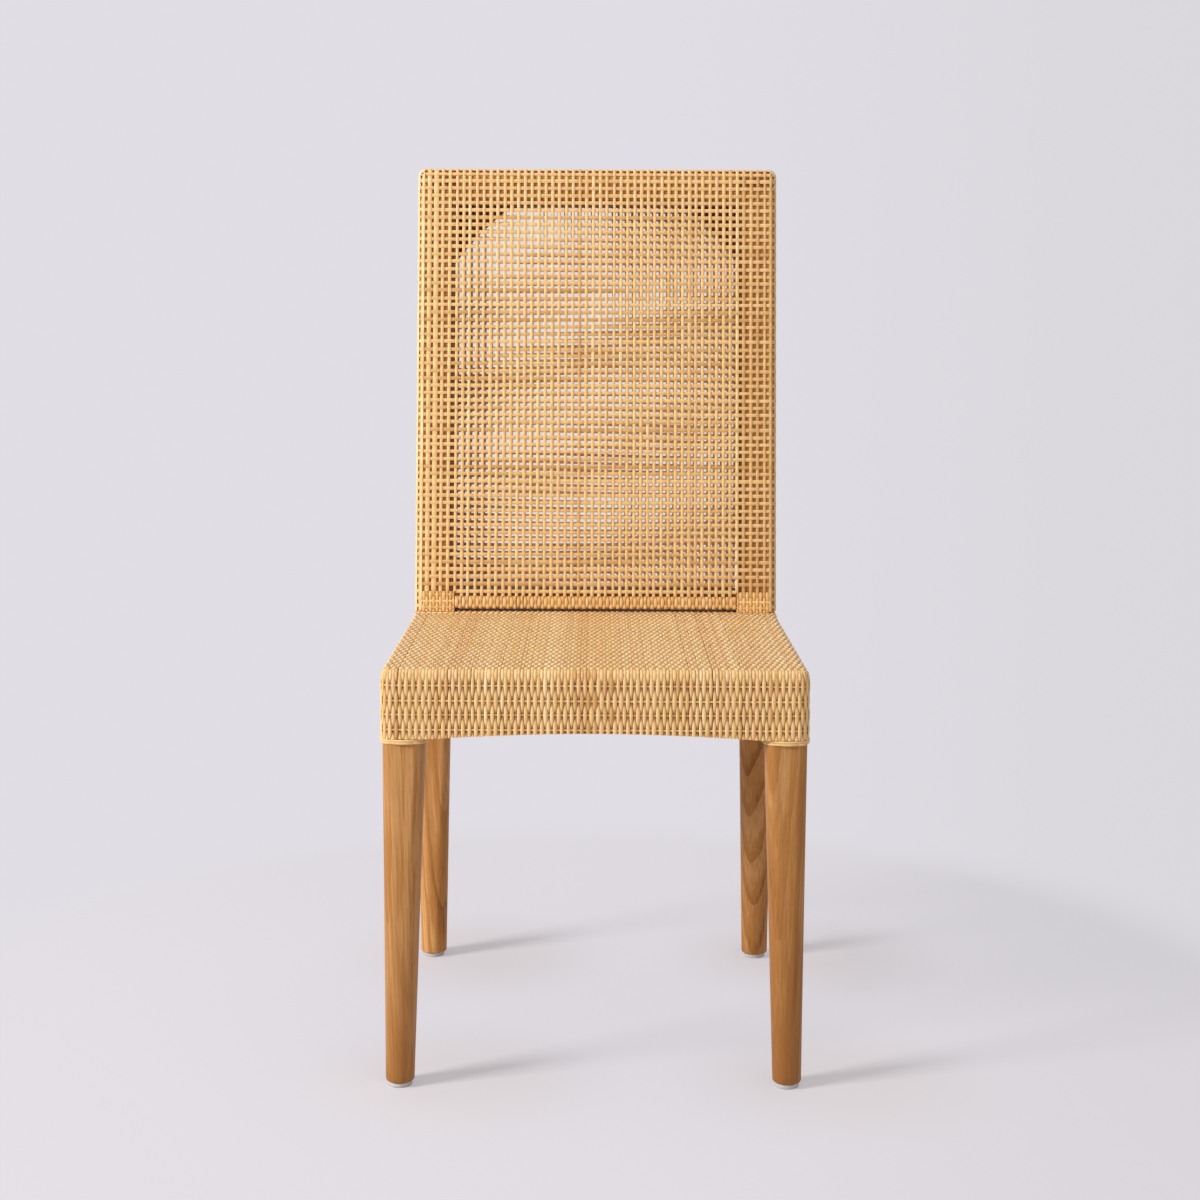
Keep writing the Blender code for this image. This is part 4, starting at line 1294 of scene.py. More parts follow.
@dataclass
class Leg(ABC):
    """A turned and shaped leg."""

    sizes: ChairSizes
    side: Side
    finish: Material
    sides: int = 64
    foot_z: float = 0.0053
    foot_round: float = 0.003
    outer_taper: float = 0.0025
    nearly_round_share: float = 0.98
    least_radius: float = 0.0002
    foot_rings: int = 6
    shaft_rings: int = 40
    upper_rings: int = 25

    @property
    @abstractmethod
    def name(self) -> str:
        """The leg's name, also its node's."""

    @abstractmethod
    def section(self, share: Array) -> tuple[Array, ...]:
        """Give the leg's section.

        Args:
            share: Places from the apron (0) to the foot (1).

        Returns:
            Middle from the chair's own middle in X and in Y, half width, half depth and corner radius.
        """

    @abstractmethod
    def above(self, z: Array) -> tuple[Array, ...]:
        """Give the same values above the apron, by height."""

    @abstractmethod
    def top(self) -> float:
        """Give the height of the leg's end."""

    def squared(self, z: Array, corner: Array, radius: Array) -> Array:
        """Give the corners' radius where some corners are squarer than the rest; here none is."""
        return radius

    def heights(self) -> Array:
        """Work out the heights of the rings, from the foot up.

        Returns:
            The heights.
        """
        turn = np.linspace(0.0, QUARTER_TURN, self.foot_rings)
        rounding = self.foot_z + self.foot_round * (1.0 - np.cos(turn))
        shaft = np.linspace(self.foot_z + self.foot_round, self.sizes.apron_z, self.shaft_rings)[1:]
        upper = np.linspace(self.sizes.apron_z, self.top(), self.upper_rings)[1:]
        return np.concatenate([rounding, shaft, upper])

    def share_at(self, z: Array) -> Array:
        """Give the share of the way from the apron to the foot at a height."""
        return np.clip((self.sizes.apron_z - z) / (self.sizes.apron_z - self.foot_z), 0.0, 1.0)

    def build(self) -> None:
        """Model the leg from a prism, ring by ring, and install it."""
        heights = self.heights()
        made = blank_prism(self.sides, len(heights) - 1, 1)
        _, ring, corner = corner_and_ring(made, self.sides, len(heights), BLANK_SPACING)
        z = heights[ring]
        below = z <= self.sizes.apron_z
        pairs = zip(self.section(self.share_at(z)), self.above(z))
        x, y, half_x, half_y, radius = (np.where(below, low, high) for low, high in pairs)
        rise = np.clip((z - self.foot_z) / self.foot_round, 0.0, 1.0)
        shrink = self.foot_round * (1.0 - np.sqrt(1.0 - (1.0 - rise) ** 2))
        radius = self.squared(z, corner, np.maximum(radius - shrink, self.least_radius))
        out_x, out_y = rounded_section(self.sides, corner, half_x - shrink, half_y - shrink, radius)
        move_points(made, np.column_stack([self.side.value * x + out_x, y + out_y, z]))
        outward(made, LEG_SHARP_ANGLE)
        install(made, self.name, self.finish, "teak", self.name)


@dataclass
class FrontLeg(Leg):
    """A front leg: square with soft corners in the seat, tapering to a round foot."""

    top_size = 0.0465
    foot_size = 0.032

    @property
    def name(self) -> str:
        """The leg's name, also its node's."""
        return "front_leg_" + self.side.word

    def section(self, share: Array) -> tuple[Array, ...]:
        """Give the section of the tapered shaft."""
        size = self.top_size + (self.foot_size - self.top_size) * share
        inset = self.outer_taper * share + size / 2 + self.sizes.skin_inset
        square = self.sizes.seat_corner - self.sizes.skin_inset
        radius = square + (self.nearly_round_share * size / 2 - square) * share
        return self.sizes.half_width - inset, self.sizes.front_y + inset, size / 2, size / 2, radius

    def above(self, z: Array) -> tuple[Array, ...]:
        """Give the section inside the seat, chamfered under the roll."""
        x, y, half_x, half_y, radius = self.section(np.zeros_like(z))
        chamfer = np.clip(z - (self.top() - self.sizes.seat_roll + self.sizes.skin_inset), 0.0, None)
        return x, y, half_x - chamfer, half_y - chamfer, radius - chamfer

    def top(self) -> float:
        """Give the top of the seat frame."""
        return self.sizes.seat_z - self.sizes.skin_inset


@dataclass
class RearLeg(Leg):
    """A raked rear leg, in one piece with its leaning post."""

    top_width = 0.045
    foot_size = 0.034
    corner_radius = 0.009
    rake = 0.0255
    rake_curve_share = 1.3
    shoulder = 0.010
    inner_corner = 0.0012
    least_corner = 0.0003

    @property
    def name(self) -> str:
        """The leg's name, also its node's."""
        return "rear_leg_" + self.side.word

    def section(self, share: Array) -> tuple[Array, ...]:
        """Give the section of the raked shaft."""
        sizes = self.sizes
        full_depth = sizes.back_thickness - 2 * sizes.skin_inset
        width = self.top_width + (self.foot_size - self.top_width) * share
        depth = full_depth + (self.foot_size - full_depth) * share
        radius = self.corner_radius + (self.nearly_round_share * width / 2 - self.corner_radius) * share
        x = sizes.half_width - sizes.skin_inset - self.outer_taper * share - width / 2
        y = sizes.back_y + sizes.back_thickness / 2 + self.rake * share**self.rake_curve_share
        return x, y, width / 2, depth / 2, np.minimum(radius, depth / 2)

    def above(self, z: Array) -> tuple[Array, ...]:
        """Give the section of the post, widened over the shoulder."""
        sizes = self.sizes
        share = np.clip((z - sizes.apron_z) / self.shoulder, 0.0, 1.0)
        width = self.top_width + (sizes.post_width - self.top_width) * share
        near_top = np.clip(z - sizes.top_seam_z, 0.0, None)
        half_depth = sizes.back_thickness / 2 - sizes.skin_inset
        radius = np.maximum(sizes.back_edge - sizes.skin_inset - near_top, self.least_corner)
        x = sizes.half_width - sizes.skin_inset - width / 2 - near_top / 2
        y = sizes.back_y + sizes.back_thickness / 2 + sizes.lean(z)
        return x, y, (width - near_top) / 2, half_depth - near_top, radius

    def squared(self, z: Array, corner: Array, radius: Array) -> Array:
        """Make the post's inner corners nearly square, where the rails meet them.

        Args:
            z: Heights of the points.
            corner: Their numbers round the section.
            radius: The radius that the outer corners have.

        Returns:
            The radius at each point.
        """
        on_left = np.isin(corner // (self.sides // 4), (1, 2))
        inner = on_left if self.side is Side.RIGHT else ~on_left
        return np.where(inner & (z > self.sizes.seat_z), np.minimum(radius, self.inner_corner), radius)

    def top(self) -> float:
        """Give the top of the back frame."""
        return self.sizes.top_z - self.sizes.skin_inset


@dataclass
class LegRing(Surface):
    """The surface of a leg just under the apron: u goes round it as a share, v is height."""

    leg: Leg
    samples: int = 720

    def points(self, u: Array, v: Array, h: Array) -> Array:
        """Find places on the leg, h out from its face."""
        x, y, half_x, half_y, radius = self.leg.section(self.leg.share_at(np.array(v)))
        out = h + self.leg.sizes.clearance
        turn = u * FULL_TURN
        steps = np.arange(self.samples)
        ring_x, ring_y = rounded_section(self.samples, steps, half_x.mean(), half_y.mean(), radius.mean())
        bearing = np.unwrap(np.arctan2(ring_y, ring_x))
        around = np.interp(turn, bearing - bearing[0], np.hypot(ring_x, ring_y), period=FULL_TURN)
        angle = turn + bearing[0]
        swell = out * np.maximum(np.abs(np.cos(angle)), np.abs(np.sin(angle))) ** -1.0
        place_x = (around + swell) * np.cos(angle)
        place_y = (around + swell) * np.sin(angle)
        return np.column_stack([self.leg.side.value * x + place_x, y + place_y, v])


# Sub-assemblies


@dataclass
class LegSet:
    """The four legs with the cane bands wound round their tops, and the glides under their feet."""

    sizes: ChairSizes
    grain: bpy.types.NodeTree
    cane: Material
    band_height: float = 0.0056
    band_thickness: float = 0.0008
    band_rings: int = 96
    glide_radius: float = 0.0135
    glide_height: float = 0.005
    glide_recess: float = 0.0038
    glide_chamfer: float = 0.001
    glide_sides: int = 48
    glide_steps: int = 3
    recess_share: float = 0.5
    band_fill_share: float = 0.96
    band_tones: tuple[float, float] = (0.56, 0.46)
    band_hues: tuple[float, float] = (0.3, 0.1)
    rear_seam_share: float = 0.5
    hidden_above: float = 0.004

    def finish_for(self, end: End, side: Side) -> Material:
        """Make the teak of one leg, cut from its own place in the plank.

        Args:
            end: Front or rear.
            side: Left or right.

        Returns:
            The material.
        """
        hearts = {
            (End.FRONT, Side.LEFT): ((0.30, 0.33, 0.0), (0.02, 0.03, 0.0)),
            (End.FRONT, Side.RIGHT): ((-0.13, 0.36, 0.4), (0.03, -0.04, 0.0)),
            (End.REAR, Side.LEFT): ((0.27, -0.30, 0.9), (-0.05, 0.06, 0.0)),
            (End.REAR, Side.RIGHT): ((-0.20, -0.08, 1.3), (0.115, 0.03, 0.0)),
        }
        offset, turn = hearts[(end, side)]
        # Each leg's painted shade higher up and at its foot, a factor on its light and middle colours that is
        # painted light above 1 and painted shade below it, and its ring strength.
        painted_shading_and_rings = {
            (End.FRONT, Side.LEFT): (0.0, 0.34, 0.97, 0.20),
            (End.FRONT, Side.RIGHT): (0.10, 0.60, 1.0, 0.24),
            (End.REAR, Side.LEFT): (0.0, 0.0, 1.16, 0.34),
            (End.REAR, Side.RIGHT): (0.0, 0.20, 1.02, 0.46),
        }
        deepened, foot_deepened, painted_brightness, ring_strength = painted_shading_and_rings[(end, side)]
        # Above the apron each leg is covered by cane and takes the painted light and shade of wood behind the
        # net.
        wood = WoodFinish(
            light=tuple(value * painted_brightness for value in WoodFinish.light),
            middle=tuple(value * painted_brightness for value in WoodFinish.middle),
            hidden_from=self.sizes.apron_z + self.hidden_above,
            opening=self.sizes.back_opening,
            deepened=deepened,
            foot_deepened=foot_deepened,
            ring_strength=ring_strength,
        )
        return wood.make(f"oiled_teak_{end.word}_{side.word}", self.grain, offset, turn)

    def band(self, leg: Leg) -> None:
        """Wind two strands of cane round a leg under the apron.

        Args:
            leg: The leg.
        """
        strand = self.band_height / 2
        top = self.sizes.apron_z - self.sizes.clearance
        places = np.array([top - strand / 2, top - 3 * strand / 2])
        round_once = np.linspace(0.0, 1.0, self.band_rings + 1)
        shape = (2, self.band_rings + 1)
        start = 0.0 if isinstance(leg, FrontLeg) else self.rear_seam_share
        strands = Strands(
            across=np.repeat(places[:, None], shape[1], axis=1),
            along=np.repeat(round_once[None, :] + start, 2, axis=0),
            height=np.full(shape, self.band_thickness / 2),
            half_width=np.full(shape, strand / 2 * self.band_fill_share),
            depth=np.zeros(shape),
            tone=np.array(self.band_tones),
            hue=np.array(self.band_hues),
            upright=False,
            per_gap=Rings.STRAIGHT,
            thickness=self.band_thickness,
        )
        made = lay(strands, LegRing(leg), Fibres.LEG_BANDS)
        outward(made, STRAND_SHARP_ANGLE)
        end, side = leg.name.split("_leg_")
        node = f"leg_band_{end}_{side}"
        install(made, node, self.cane, "cane", node)

    def glide(self, leg: Leg, end: End, nylon: Material) -> None:
        """Turn the glide under a foot, with the recess for its nail.

        Args:
            leg: The leg.
            end: Front or rear.
            nylon: The glide's material.
        """
        x, y = (value.item() for value in leg.section(np.ones(1))[:2])
        nothing_selected()
        middle = (leg.side.value * x, y, self.glide_height / 2)
        bpy.ops.mesh.primitive_cylinder_add(
            vertices=self.glide_sides, radius=self.glide_radius, depth=self.glide_height, location=middle
        )
        made = bpy.context.object
        bpy.ops.object.transform_apply(location=True, rotation=False, scale=False)
        pick_edges(made, lambda low, high: max(low.z, high.z) < TOUCH)
        bpy.ops.mesh.bevel(offset=self.glide_chamfer, segments=self.glide_steps)
        bpy.ops.mesh.select_mode(type="FACE")
        bpy.ops.mesh.select_all(action="DESELECT")
        bpy.ops.object.mode_set(mode="OBJECT")
        for face in made.data.polygons:
            face.select = face.normal.z < DOWNWARD
        bpy.ops.object.mode_set(mode="EDIT")
        bpy.ops.mesh.inset(thickness=self.glide_radius - self.glide_chamfer - self.glide_recess)
        into = (0.0, 0.0, self.glide_height * self.recess_share)
        bpy.ops.mesh.extrude_region_move(TRANSFORM_OT_translate={"value": into})
        outward(made, GLIDE_SHARP_ANGLE)
        node = f"glide_{end.word}_{leg.side.word}"
        install(made, node, nylon, "nylon", node)

    def build(self) -> None:
        """Build the legs and all that is on them."""
        nylon = MouldedNylon().make("moulded_nylon")
        for end, kind in ((End.FRONT, FrontLeg), (End.REAR, RearLeg)):
            for side in Side:
                leg = kind(self.sizes, side, self.finish_for(end, side))
                leg.build()
                self.band(leg)
                self.glide(leg, end, nylon)


@dataclass
class SeatFrame:
    """Rails, slats, corner blocks, gussets and fasteners: CAD solids that only need their finish."""

    sizes: ChairSizes
    grain: bpy.types.NodeTree

    def build(self) -> None:
        """Dress the nodes of the frame."""
        wood = WoodFinish(**BARE_WOOD)
        covered = {"hidden_from": self.sizes.seat_z}
        # The back's rails take painted light and shade near its opening, and the gussets take painted shade
        # all over above the seat.
        rail = WoodFinish(**BARE_WOOD, **covered, opening=self.sizes.back_opening)
        crossways = (0.1, 0.2, 0.0), (0.0, QUARTER_TURN, 0.03)
        behind = rail.make("hardwood_behind_net", self.grain, *crossways)
        corner = WoodFinish(**BARE_WOOD, **covered).make("hardwood_in_corners", self.grain, *crossways)
        across = wood.make("bare_hardwood_across", self.grain, *crossways)
        along = wood.make("bare_hardwood_along", self.grain, (0.05, 0.25, 0.1), (QUARTER_TURN, 0.0, 0.04))
        steel = ZincPlate().make("zinc_plated_steel")
        kinds = (
            (steel, ("glide_nail",)),
            (along, ("left_seat_rail", "right_seat_rail")),
            (behind, ("back_top_rail", "back_bottom_rail")),
            (corner, ("back_gusset",)),
            (across, ("front_seat", "rear_seat", "seat_slat", "corner_block")),
        )
        for name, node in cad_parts.items():
            finishes = [steel] if name.endswith(("_bolt", "_washer")) else []
            finishes += [finish for finish, starts in kinds if name.startswith(starts)]
            if finishes:
                node.data.materials.clear()
                node.data.materials.append(finishes[0])
                log.info("%s: dressed in %s", name, finishes[0].name)


@dataclass
class BackDrift:
    """Slow wandering of a hand-woven net that dies out at its borders.

    Each wave is its size, its waves per metre across and up, and its phase.
    """

    sizes: ChairSizes
    across_waves: tuple
    up_waves: tuple
    counted_from: float = 0.75
    side_power: int = 6
    end_power: int = 8
    side_hold: float = 0.5

    def wave_sum(self, waves: tuple, u: Array, v: Array) -> Array:
        """Add up the waves of one direction."""
        up = v - self.counted_from
        return sum(size * np.sin(FULL_TURN * (a * u + b * up) + phase) for size, a, b, phase in waves)

    def __call__(self, u: Array, v: Array) -> tuple[Array, Array]:
        """Find how far the net has wandered.

        Args:
            u: Places across the face.
            v: Heights.

        Returns:
            The shifts across and up.
        """
        sizes = self.sizes
        low, high = sizes.band_top_z, sizes.top_seam_z
        middle, reach = (low + high) / 2, (high - low) / 2
        across, up = (self.wave_sum(waves, u, v) for waves in (self.across_waves, self.up_waves))
        side = (np.abs(u) / sizes.seam_x) ** self.side_power
        end = (np.abs(v - middle) / reach) ** self.end_power
        across = across * np.clip(1.0 - side, 0.0, 1.0)
        up = up * np.clip(1.0 - self.side_hold * side, 0.0, 1.0)
        return across, up * np.clip(1.0 - end, 0.0, 1.0)


@dataclass
class BackCane:
    """The open net on both faces of the back, its edges, the closed band and the post feet."""

    sizes: ChairSizes
    cane: Material
    warm_cane: Material
    column_pitch: float = 0.00903
    columns: int = 50
    row_pitch: float = 0.009607
    first_row_z: float = 0.4981
    upright: float = 0.0042
    level: float = 0.0046
    rear_upright: float = 0.0037
    rear_level: float = 0.0040
    thickness: float = 0.0008
    upright_stray: float = 0.00025
    level_stray: float = 0.00032
    upright_lift: float = 0.00028
    level_lift: float = 0.00036
    layer: float = 0.00006
    first_strands: int = 2
    first_wider: float = 1.4
    # Painted light on the first strands, at the left, which face the lamp.
    first_lighter: float = 0.06
    last_strands: int = 5
    # Painted shade on the last strands, at the right, away from the lamp.
    last_lighter: float = -0.17
    # Painted light on the rear net, which lies in the front net's shade.
    rear_lighter: float = 0.16
    edge_first: float = 0.0016
    edge_pitch: float = 0.0088
    edge_lifts: tuple[float, ...] = (0.00012, 0.0002)
    edge_offsets: tuple[float, ...] = (0.00030, -0.00025)
    edge_foot: float = 0.0008
    edge_lightness: float = 0.66
    end_margin: float = 0.2
    corner_margin: float = 0.1
    band_stray: float = 0.00012
    band_lift: float = 0.00055
    band_first_rib: float = 0.0081
    band_rib_pitch: float = 0.0090
    band_rib: float = 0.0030
    band_lightness: float = 0.56
    foot_pitch: float = 0.0044
    foot_stray: float = 0.0001
    foot_first_rib: float = 0.0050
    foot_rib_pitch: float = 0.0082
    foot_rib: float = 0.0034
    foot_lifts: tuple[float, ...] = (0.0004, 0.0002)
    foot_tuck: float = 0.0002

    def net_weave(self, seed: int, upright: float, level: float, drift: BackDrift | None) -> Weave:
        """Lay out the net of one face.

        Args:
            seed: Starts the draw of its faults.
            upright: The width of its upright strands.
            level: The width of its level strands.
            drift: Its slow wandering, if it has any.

        Returns:
            The weave.
        """
        first = -self.column_pitch * (self.columns - 1) / 2
        pitch, row_pitch = self.column_pitch, self.row_pitch
        columns = StrandSet(first, pitch, upright, seed, self.upright_stray, lightness=0.50, variety=0.12)
        # The level strands get a darker tone than the upright ones: painted shade, for they lie lower, in the
        # uprights' shadow.
        rows = StrandSet(
            self.first_row_z, row_pitch, level, seed + 1, self.level_stray, lightness=0.32, variety=0.10
        )
        # The left columns take painted light and the right columns painted shade.
        columns.favour(0, self.first_strands - 1, self.first_lighter)
        columns.widen(0, self.first_strands - 1, self.first_wider)
        columns.favour(self.columns - self.last_strands, self.columns - 1, self.last_lighter)
        lifts = self.thickness, self.upright_lift, self.level_lift, self.layer, -self.layer
        # The net's strands take a little painted shade where they dive.
        return Weave(columns, rows, *lifts, stain=0.22, drift=drift)

    def net(self, end: End, weave: Weave) -> None:
        """Weave the net of one face.

        Args:
            end: Front or rear.
            weave: Its layout.
        """
        sizes = self.sizes
        seam = sizes.seam_x
        low = weave.rows.number_at(sizes.band_top_z)
        low_side = weave.rows.number_at(sizes.post_band_z)
        high = weave.rows.number_at(sizes.top_seam_z)
        reach = weave.columns.number_at(-seam), weave.columns.number_at(seam)
        inner = sizes.post_inner_x - sizes.skin_inset
        inside = weave.columns.number_at(-inner), weave.columns.number_at(inner)
        numbers = np.arange(self.columns)
        middle = (numbers > inside[0]) & (numbers < inside[1])
        row_numbers = np.arange(ceil(low), floor(high) + 1)
        short = row_numbers < low_side
        sets = [
            (weave.upright(numbers[middle], low, high), Fibres.NET_UPRIGHT),
            (weave.upright(numbers[~middle], low_side, high), Fibres.NET_BESIDE),
            (weave.level(row_numbers[~short], *reach), Fibres.NET_LEVEL),
        ]
        if short.any():
            sets.append((weave.level(row_numbers[short], *inside), Fibres.NET_SHORT))
        weave_piece(f"back_{end.word}_cane_net", self.cane, BackFace(sizes, end), *sets)

    def edge_weave(self, front: Weave, seed: int, lighter: float) -> Weave:
        """Lay out the closer cane that is wrapped round a long side.

        Args:
            front: The front net's layout, whose rows run on.
            seed: Starts the draw of its faults.
            lighter: How much lighter its first strands are: painted light, and painted shade where it is
                below 0.

        Returns:
            The weave, whose strands are numbered round the side from the front.
        """
        share = {"lightness": self.edge_lightness, "variety": 0.08}
        columns = StrandSet(self.edge_first, self.edge_pitch, self.upright, seed, **share)
        # The first strands take painted light on the left side and painted shade on the right.
        columns.favour(0, 1, lighter)
        # The edge's strands take a little painted shade where they dive.
        return Weave(columns, front.rows, self.thickness, *self.edge_lifts, *self.edge_offsets, stain=0.2)

    def edge(self, side: Side, front: Weave, rear: Weave) -> None:
        """Weave the cane round one long side, from the front net's rows to the rear net's.

        Args:
            side: Left or right.
            front: The front net's layout.
            rear: The rear net's layout.
        """
        sizes = self.sizes
        around = sizes.round_back
        weave = self.edge_weave(front, Faults.BACK_EDGES + side.value, EDGE_PAINTED_LIGHT_AND_SHADE[side])
        first = front.columns.number_at(side.value * sizes.seam_x)

        def sheet(p: Array, q: Array) -> tuple[Array, Array]:
            """Blend the rows of the two faces round the edge."""
            way = weave.columns.place(p)
            share = np.clip(way / around, 0.0, 1.0)
            at_seam = np.full_like(p, first)
            return way, front.sheet(at_seam, q)[1] * (1 - share) + rear.sheet(at_seam, q)[1] * share

        ends = weave.columns.number_at(0.0), weave.columns.number_at(around)
        numbers = range(0, floor(ends[1] - self.end_margin) + 1)
        low = weave.rows.number_at(sizes.seat_z + self.edge_foot)
        high = weave.rows.number_at(sizes.top_seam_z + sizes.back_edge * QUARTER_TURN)
        row_numbers = range(ceil(low + self.end_margin), floor(high - self.corner_margin) + 1)
        sets = (
            (weave.upright(numbers, low, high, sheet=sheet), Fibres.EDGE_UPRIGHT),
            (weave.level(row_numbers, *ends, Rings.SLACK, sheet), Fibres.EDGE_LEVEL),
        )
        weave_piece(f"back_edge_cane_{side.word}", self.cane, BackEdge(sizes, side), *sets)

    def top(self, front: Weave, rear: Weave) -> None:
        """Weave the cane over the top, from the front net's strands to the rear net's.

        Args:
            front: The front net's layout.
            rear: The rear net's layout.
        """
        sizes = self.sizes
        over = sizes.round_back
        seam = sizes.seam_x
        first = front.rows.number_at(sizes.top_seam_z)

        def sheet(p: Array, q: Array) -> tuple[Array, Array]:
            """Blend the columns of the two faces over the top."""
            way = (q - first) * self.row_pitch
            share = np.clip(way / over, 0.0, 1.0)
            at_seam = np.full_like(q, first)
            u = front.sheet(p, at_seam)[0] * (1 - share) + rear.sheet(p, at_seam)[0] * share
            return u, way

        last = first + over / self.row_pitch
        reach = front.columns.number_at(-seam), front.columns.number_at(seam)
        sets = (
            (front.upright(range(self.columns), first, last, Rings.TIGHT, sheet), Fibres.TOP_UPRIGHT),
            (front.level(range(ceil(first), floor(last) + 1), *reach, sheet=sheet), Fibres.TOP_LEVEL),
        )
        weave_piece("back_edge_cane_top", self.cane, BackTop(sizes, Side.LEFT), *sets)

    def bottom_band(self) -> None:
        """Wind the closed band round the bottom rail, with two strands to each of the net's."""
        sizes = self.sizes
        reach = sizes.post_inner_x - sizes.skin_inset - sizes.clearance
        count = round(4 * reach / self.column_pitch)
        pitch = 2 * reach / count
        share = {"lightness": self.band_lightness, "variety": 0.10}
        columns = StrandSet(pitch / 2 - reach, pitch, pitch, Faults.BOTTOM_BAND, self.band_stray, **share)
        rows = StrandSet(self.band_first_rib, self.band_rib_pitch, self.band_rib, Faults.BOTTOM_RIBS)
        # The band's strands take painted shade where they dive.
        bends = {"spread": 0.05, "narrow": 0.03, "stain": 0.45}
        weave = Weave(columns, rows, self.thickness, self.band_lift, 0.0, **bends)
        surface = BottomWrap(sizes)
        ends = weave.rows.number_at(0.0), weave.rows.number_at(surface.path)
        strands = weave.upright(range(count), *ends, Rings.TIGHT)
        weave_piece("back_bottom_cane", self.warm_cane, surface, (strands, Fibres.BOTTOM_BAND))

    def post_foot(self, side: Side) -> None:
        """Weave the closed cane round the foot of one post.

        Args:
            side: Left or right.
        """
        sizes = self.sizes
        pitch, seed = self.foot_pitch, Faults.POST_FEET + side.value
        columns = StrandSet(pitch / 2, pitch, self.upright, seed, self.foot_stray, variety=0.08)
        first_rib = sizes.seat_z + self.foot_first_rib
        rows = StrandSet(first_rib, self.foot_rib_pitch, self.foot_rib, Faults.POST_RIBS, lightness=0.46)
        # The post feet's strands take painted shade where they dive.
        bends = {"spread": 0.04, "narrow": 0.06, "stain": 0.5}
        weave = Weave(columns, rows, self.thickness, *self.foot_lifts, **bends)
        lip = sizes.seam_x
        width = lip - sizes.post_inner_x + sizes.skin_inset
        path = 2 * width + sizes.back_thickness
        low, high = (weave.rows.number_at(z) for z in (sizes.seat_z - self.foot_tuck, sizes.post_band_z))
        numbers = range(0, floor(weave.columns.number_at(path)) + 1)
        ends = weave.columns.number_at(0.0), weave.columns.number_at(path)
        sets = (
            (weave.upright(numbers, low, high, Rings.TIGHT), Fibres.POST_UPRIGHT),
            (weave.level(range(ceil(low), floor(high) + 1), *ends, Rings.STRAIGHT), Fibres.POST_LEVEL),
        )
        weave_piece(f"post_base_cane_{side.word}", self.warm_cane, PostWrap(sizes, side), *sets)

    def build(self) -> None:
        """Build all the cane of the back."""
        drift = BackDrift(self.sizes, REAR_ACROSS_WAVES, REAR_UP_WAVES)
        front = self.net_weave(Faults.FRONT_NET, self.upright, self.level, None)
        rear = self.net_weave(Faults.REAR_NET, self.rear_upright, self.rear_level, drift)
        # The rear net's strands take painted light.
        for strands in (rear.columns, rear.rows):
            strands.favour(-self.columns, 2 * self.columns, self.rear_lighter)
        self.net(End.FRONT, front)
        self.net(End.REAR, rear)
        for side in Side:
            self.edge(side, front, rear)
            self.post_foot(side)
        self.top(front, rear)
        self.bottom_band()


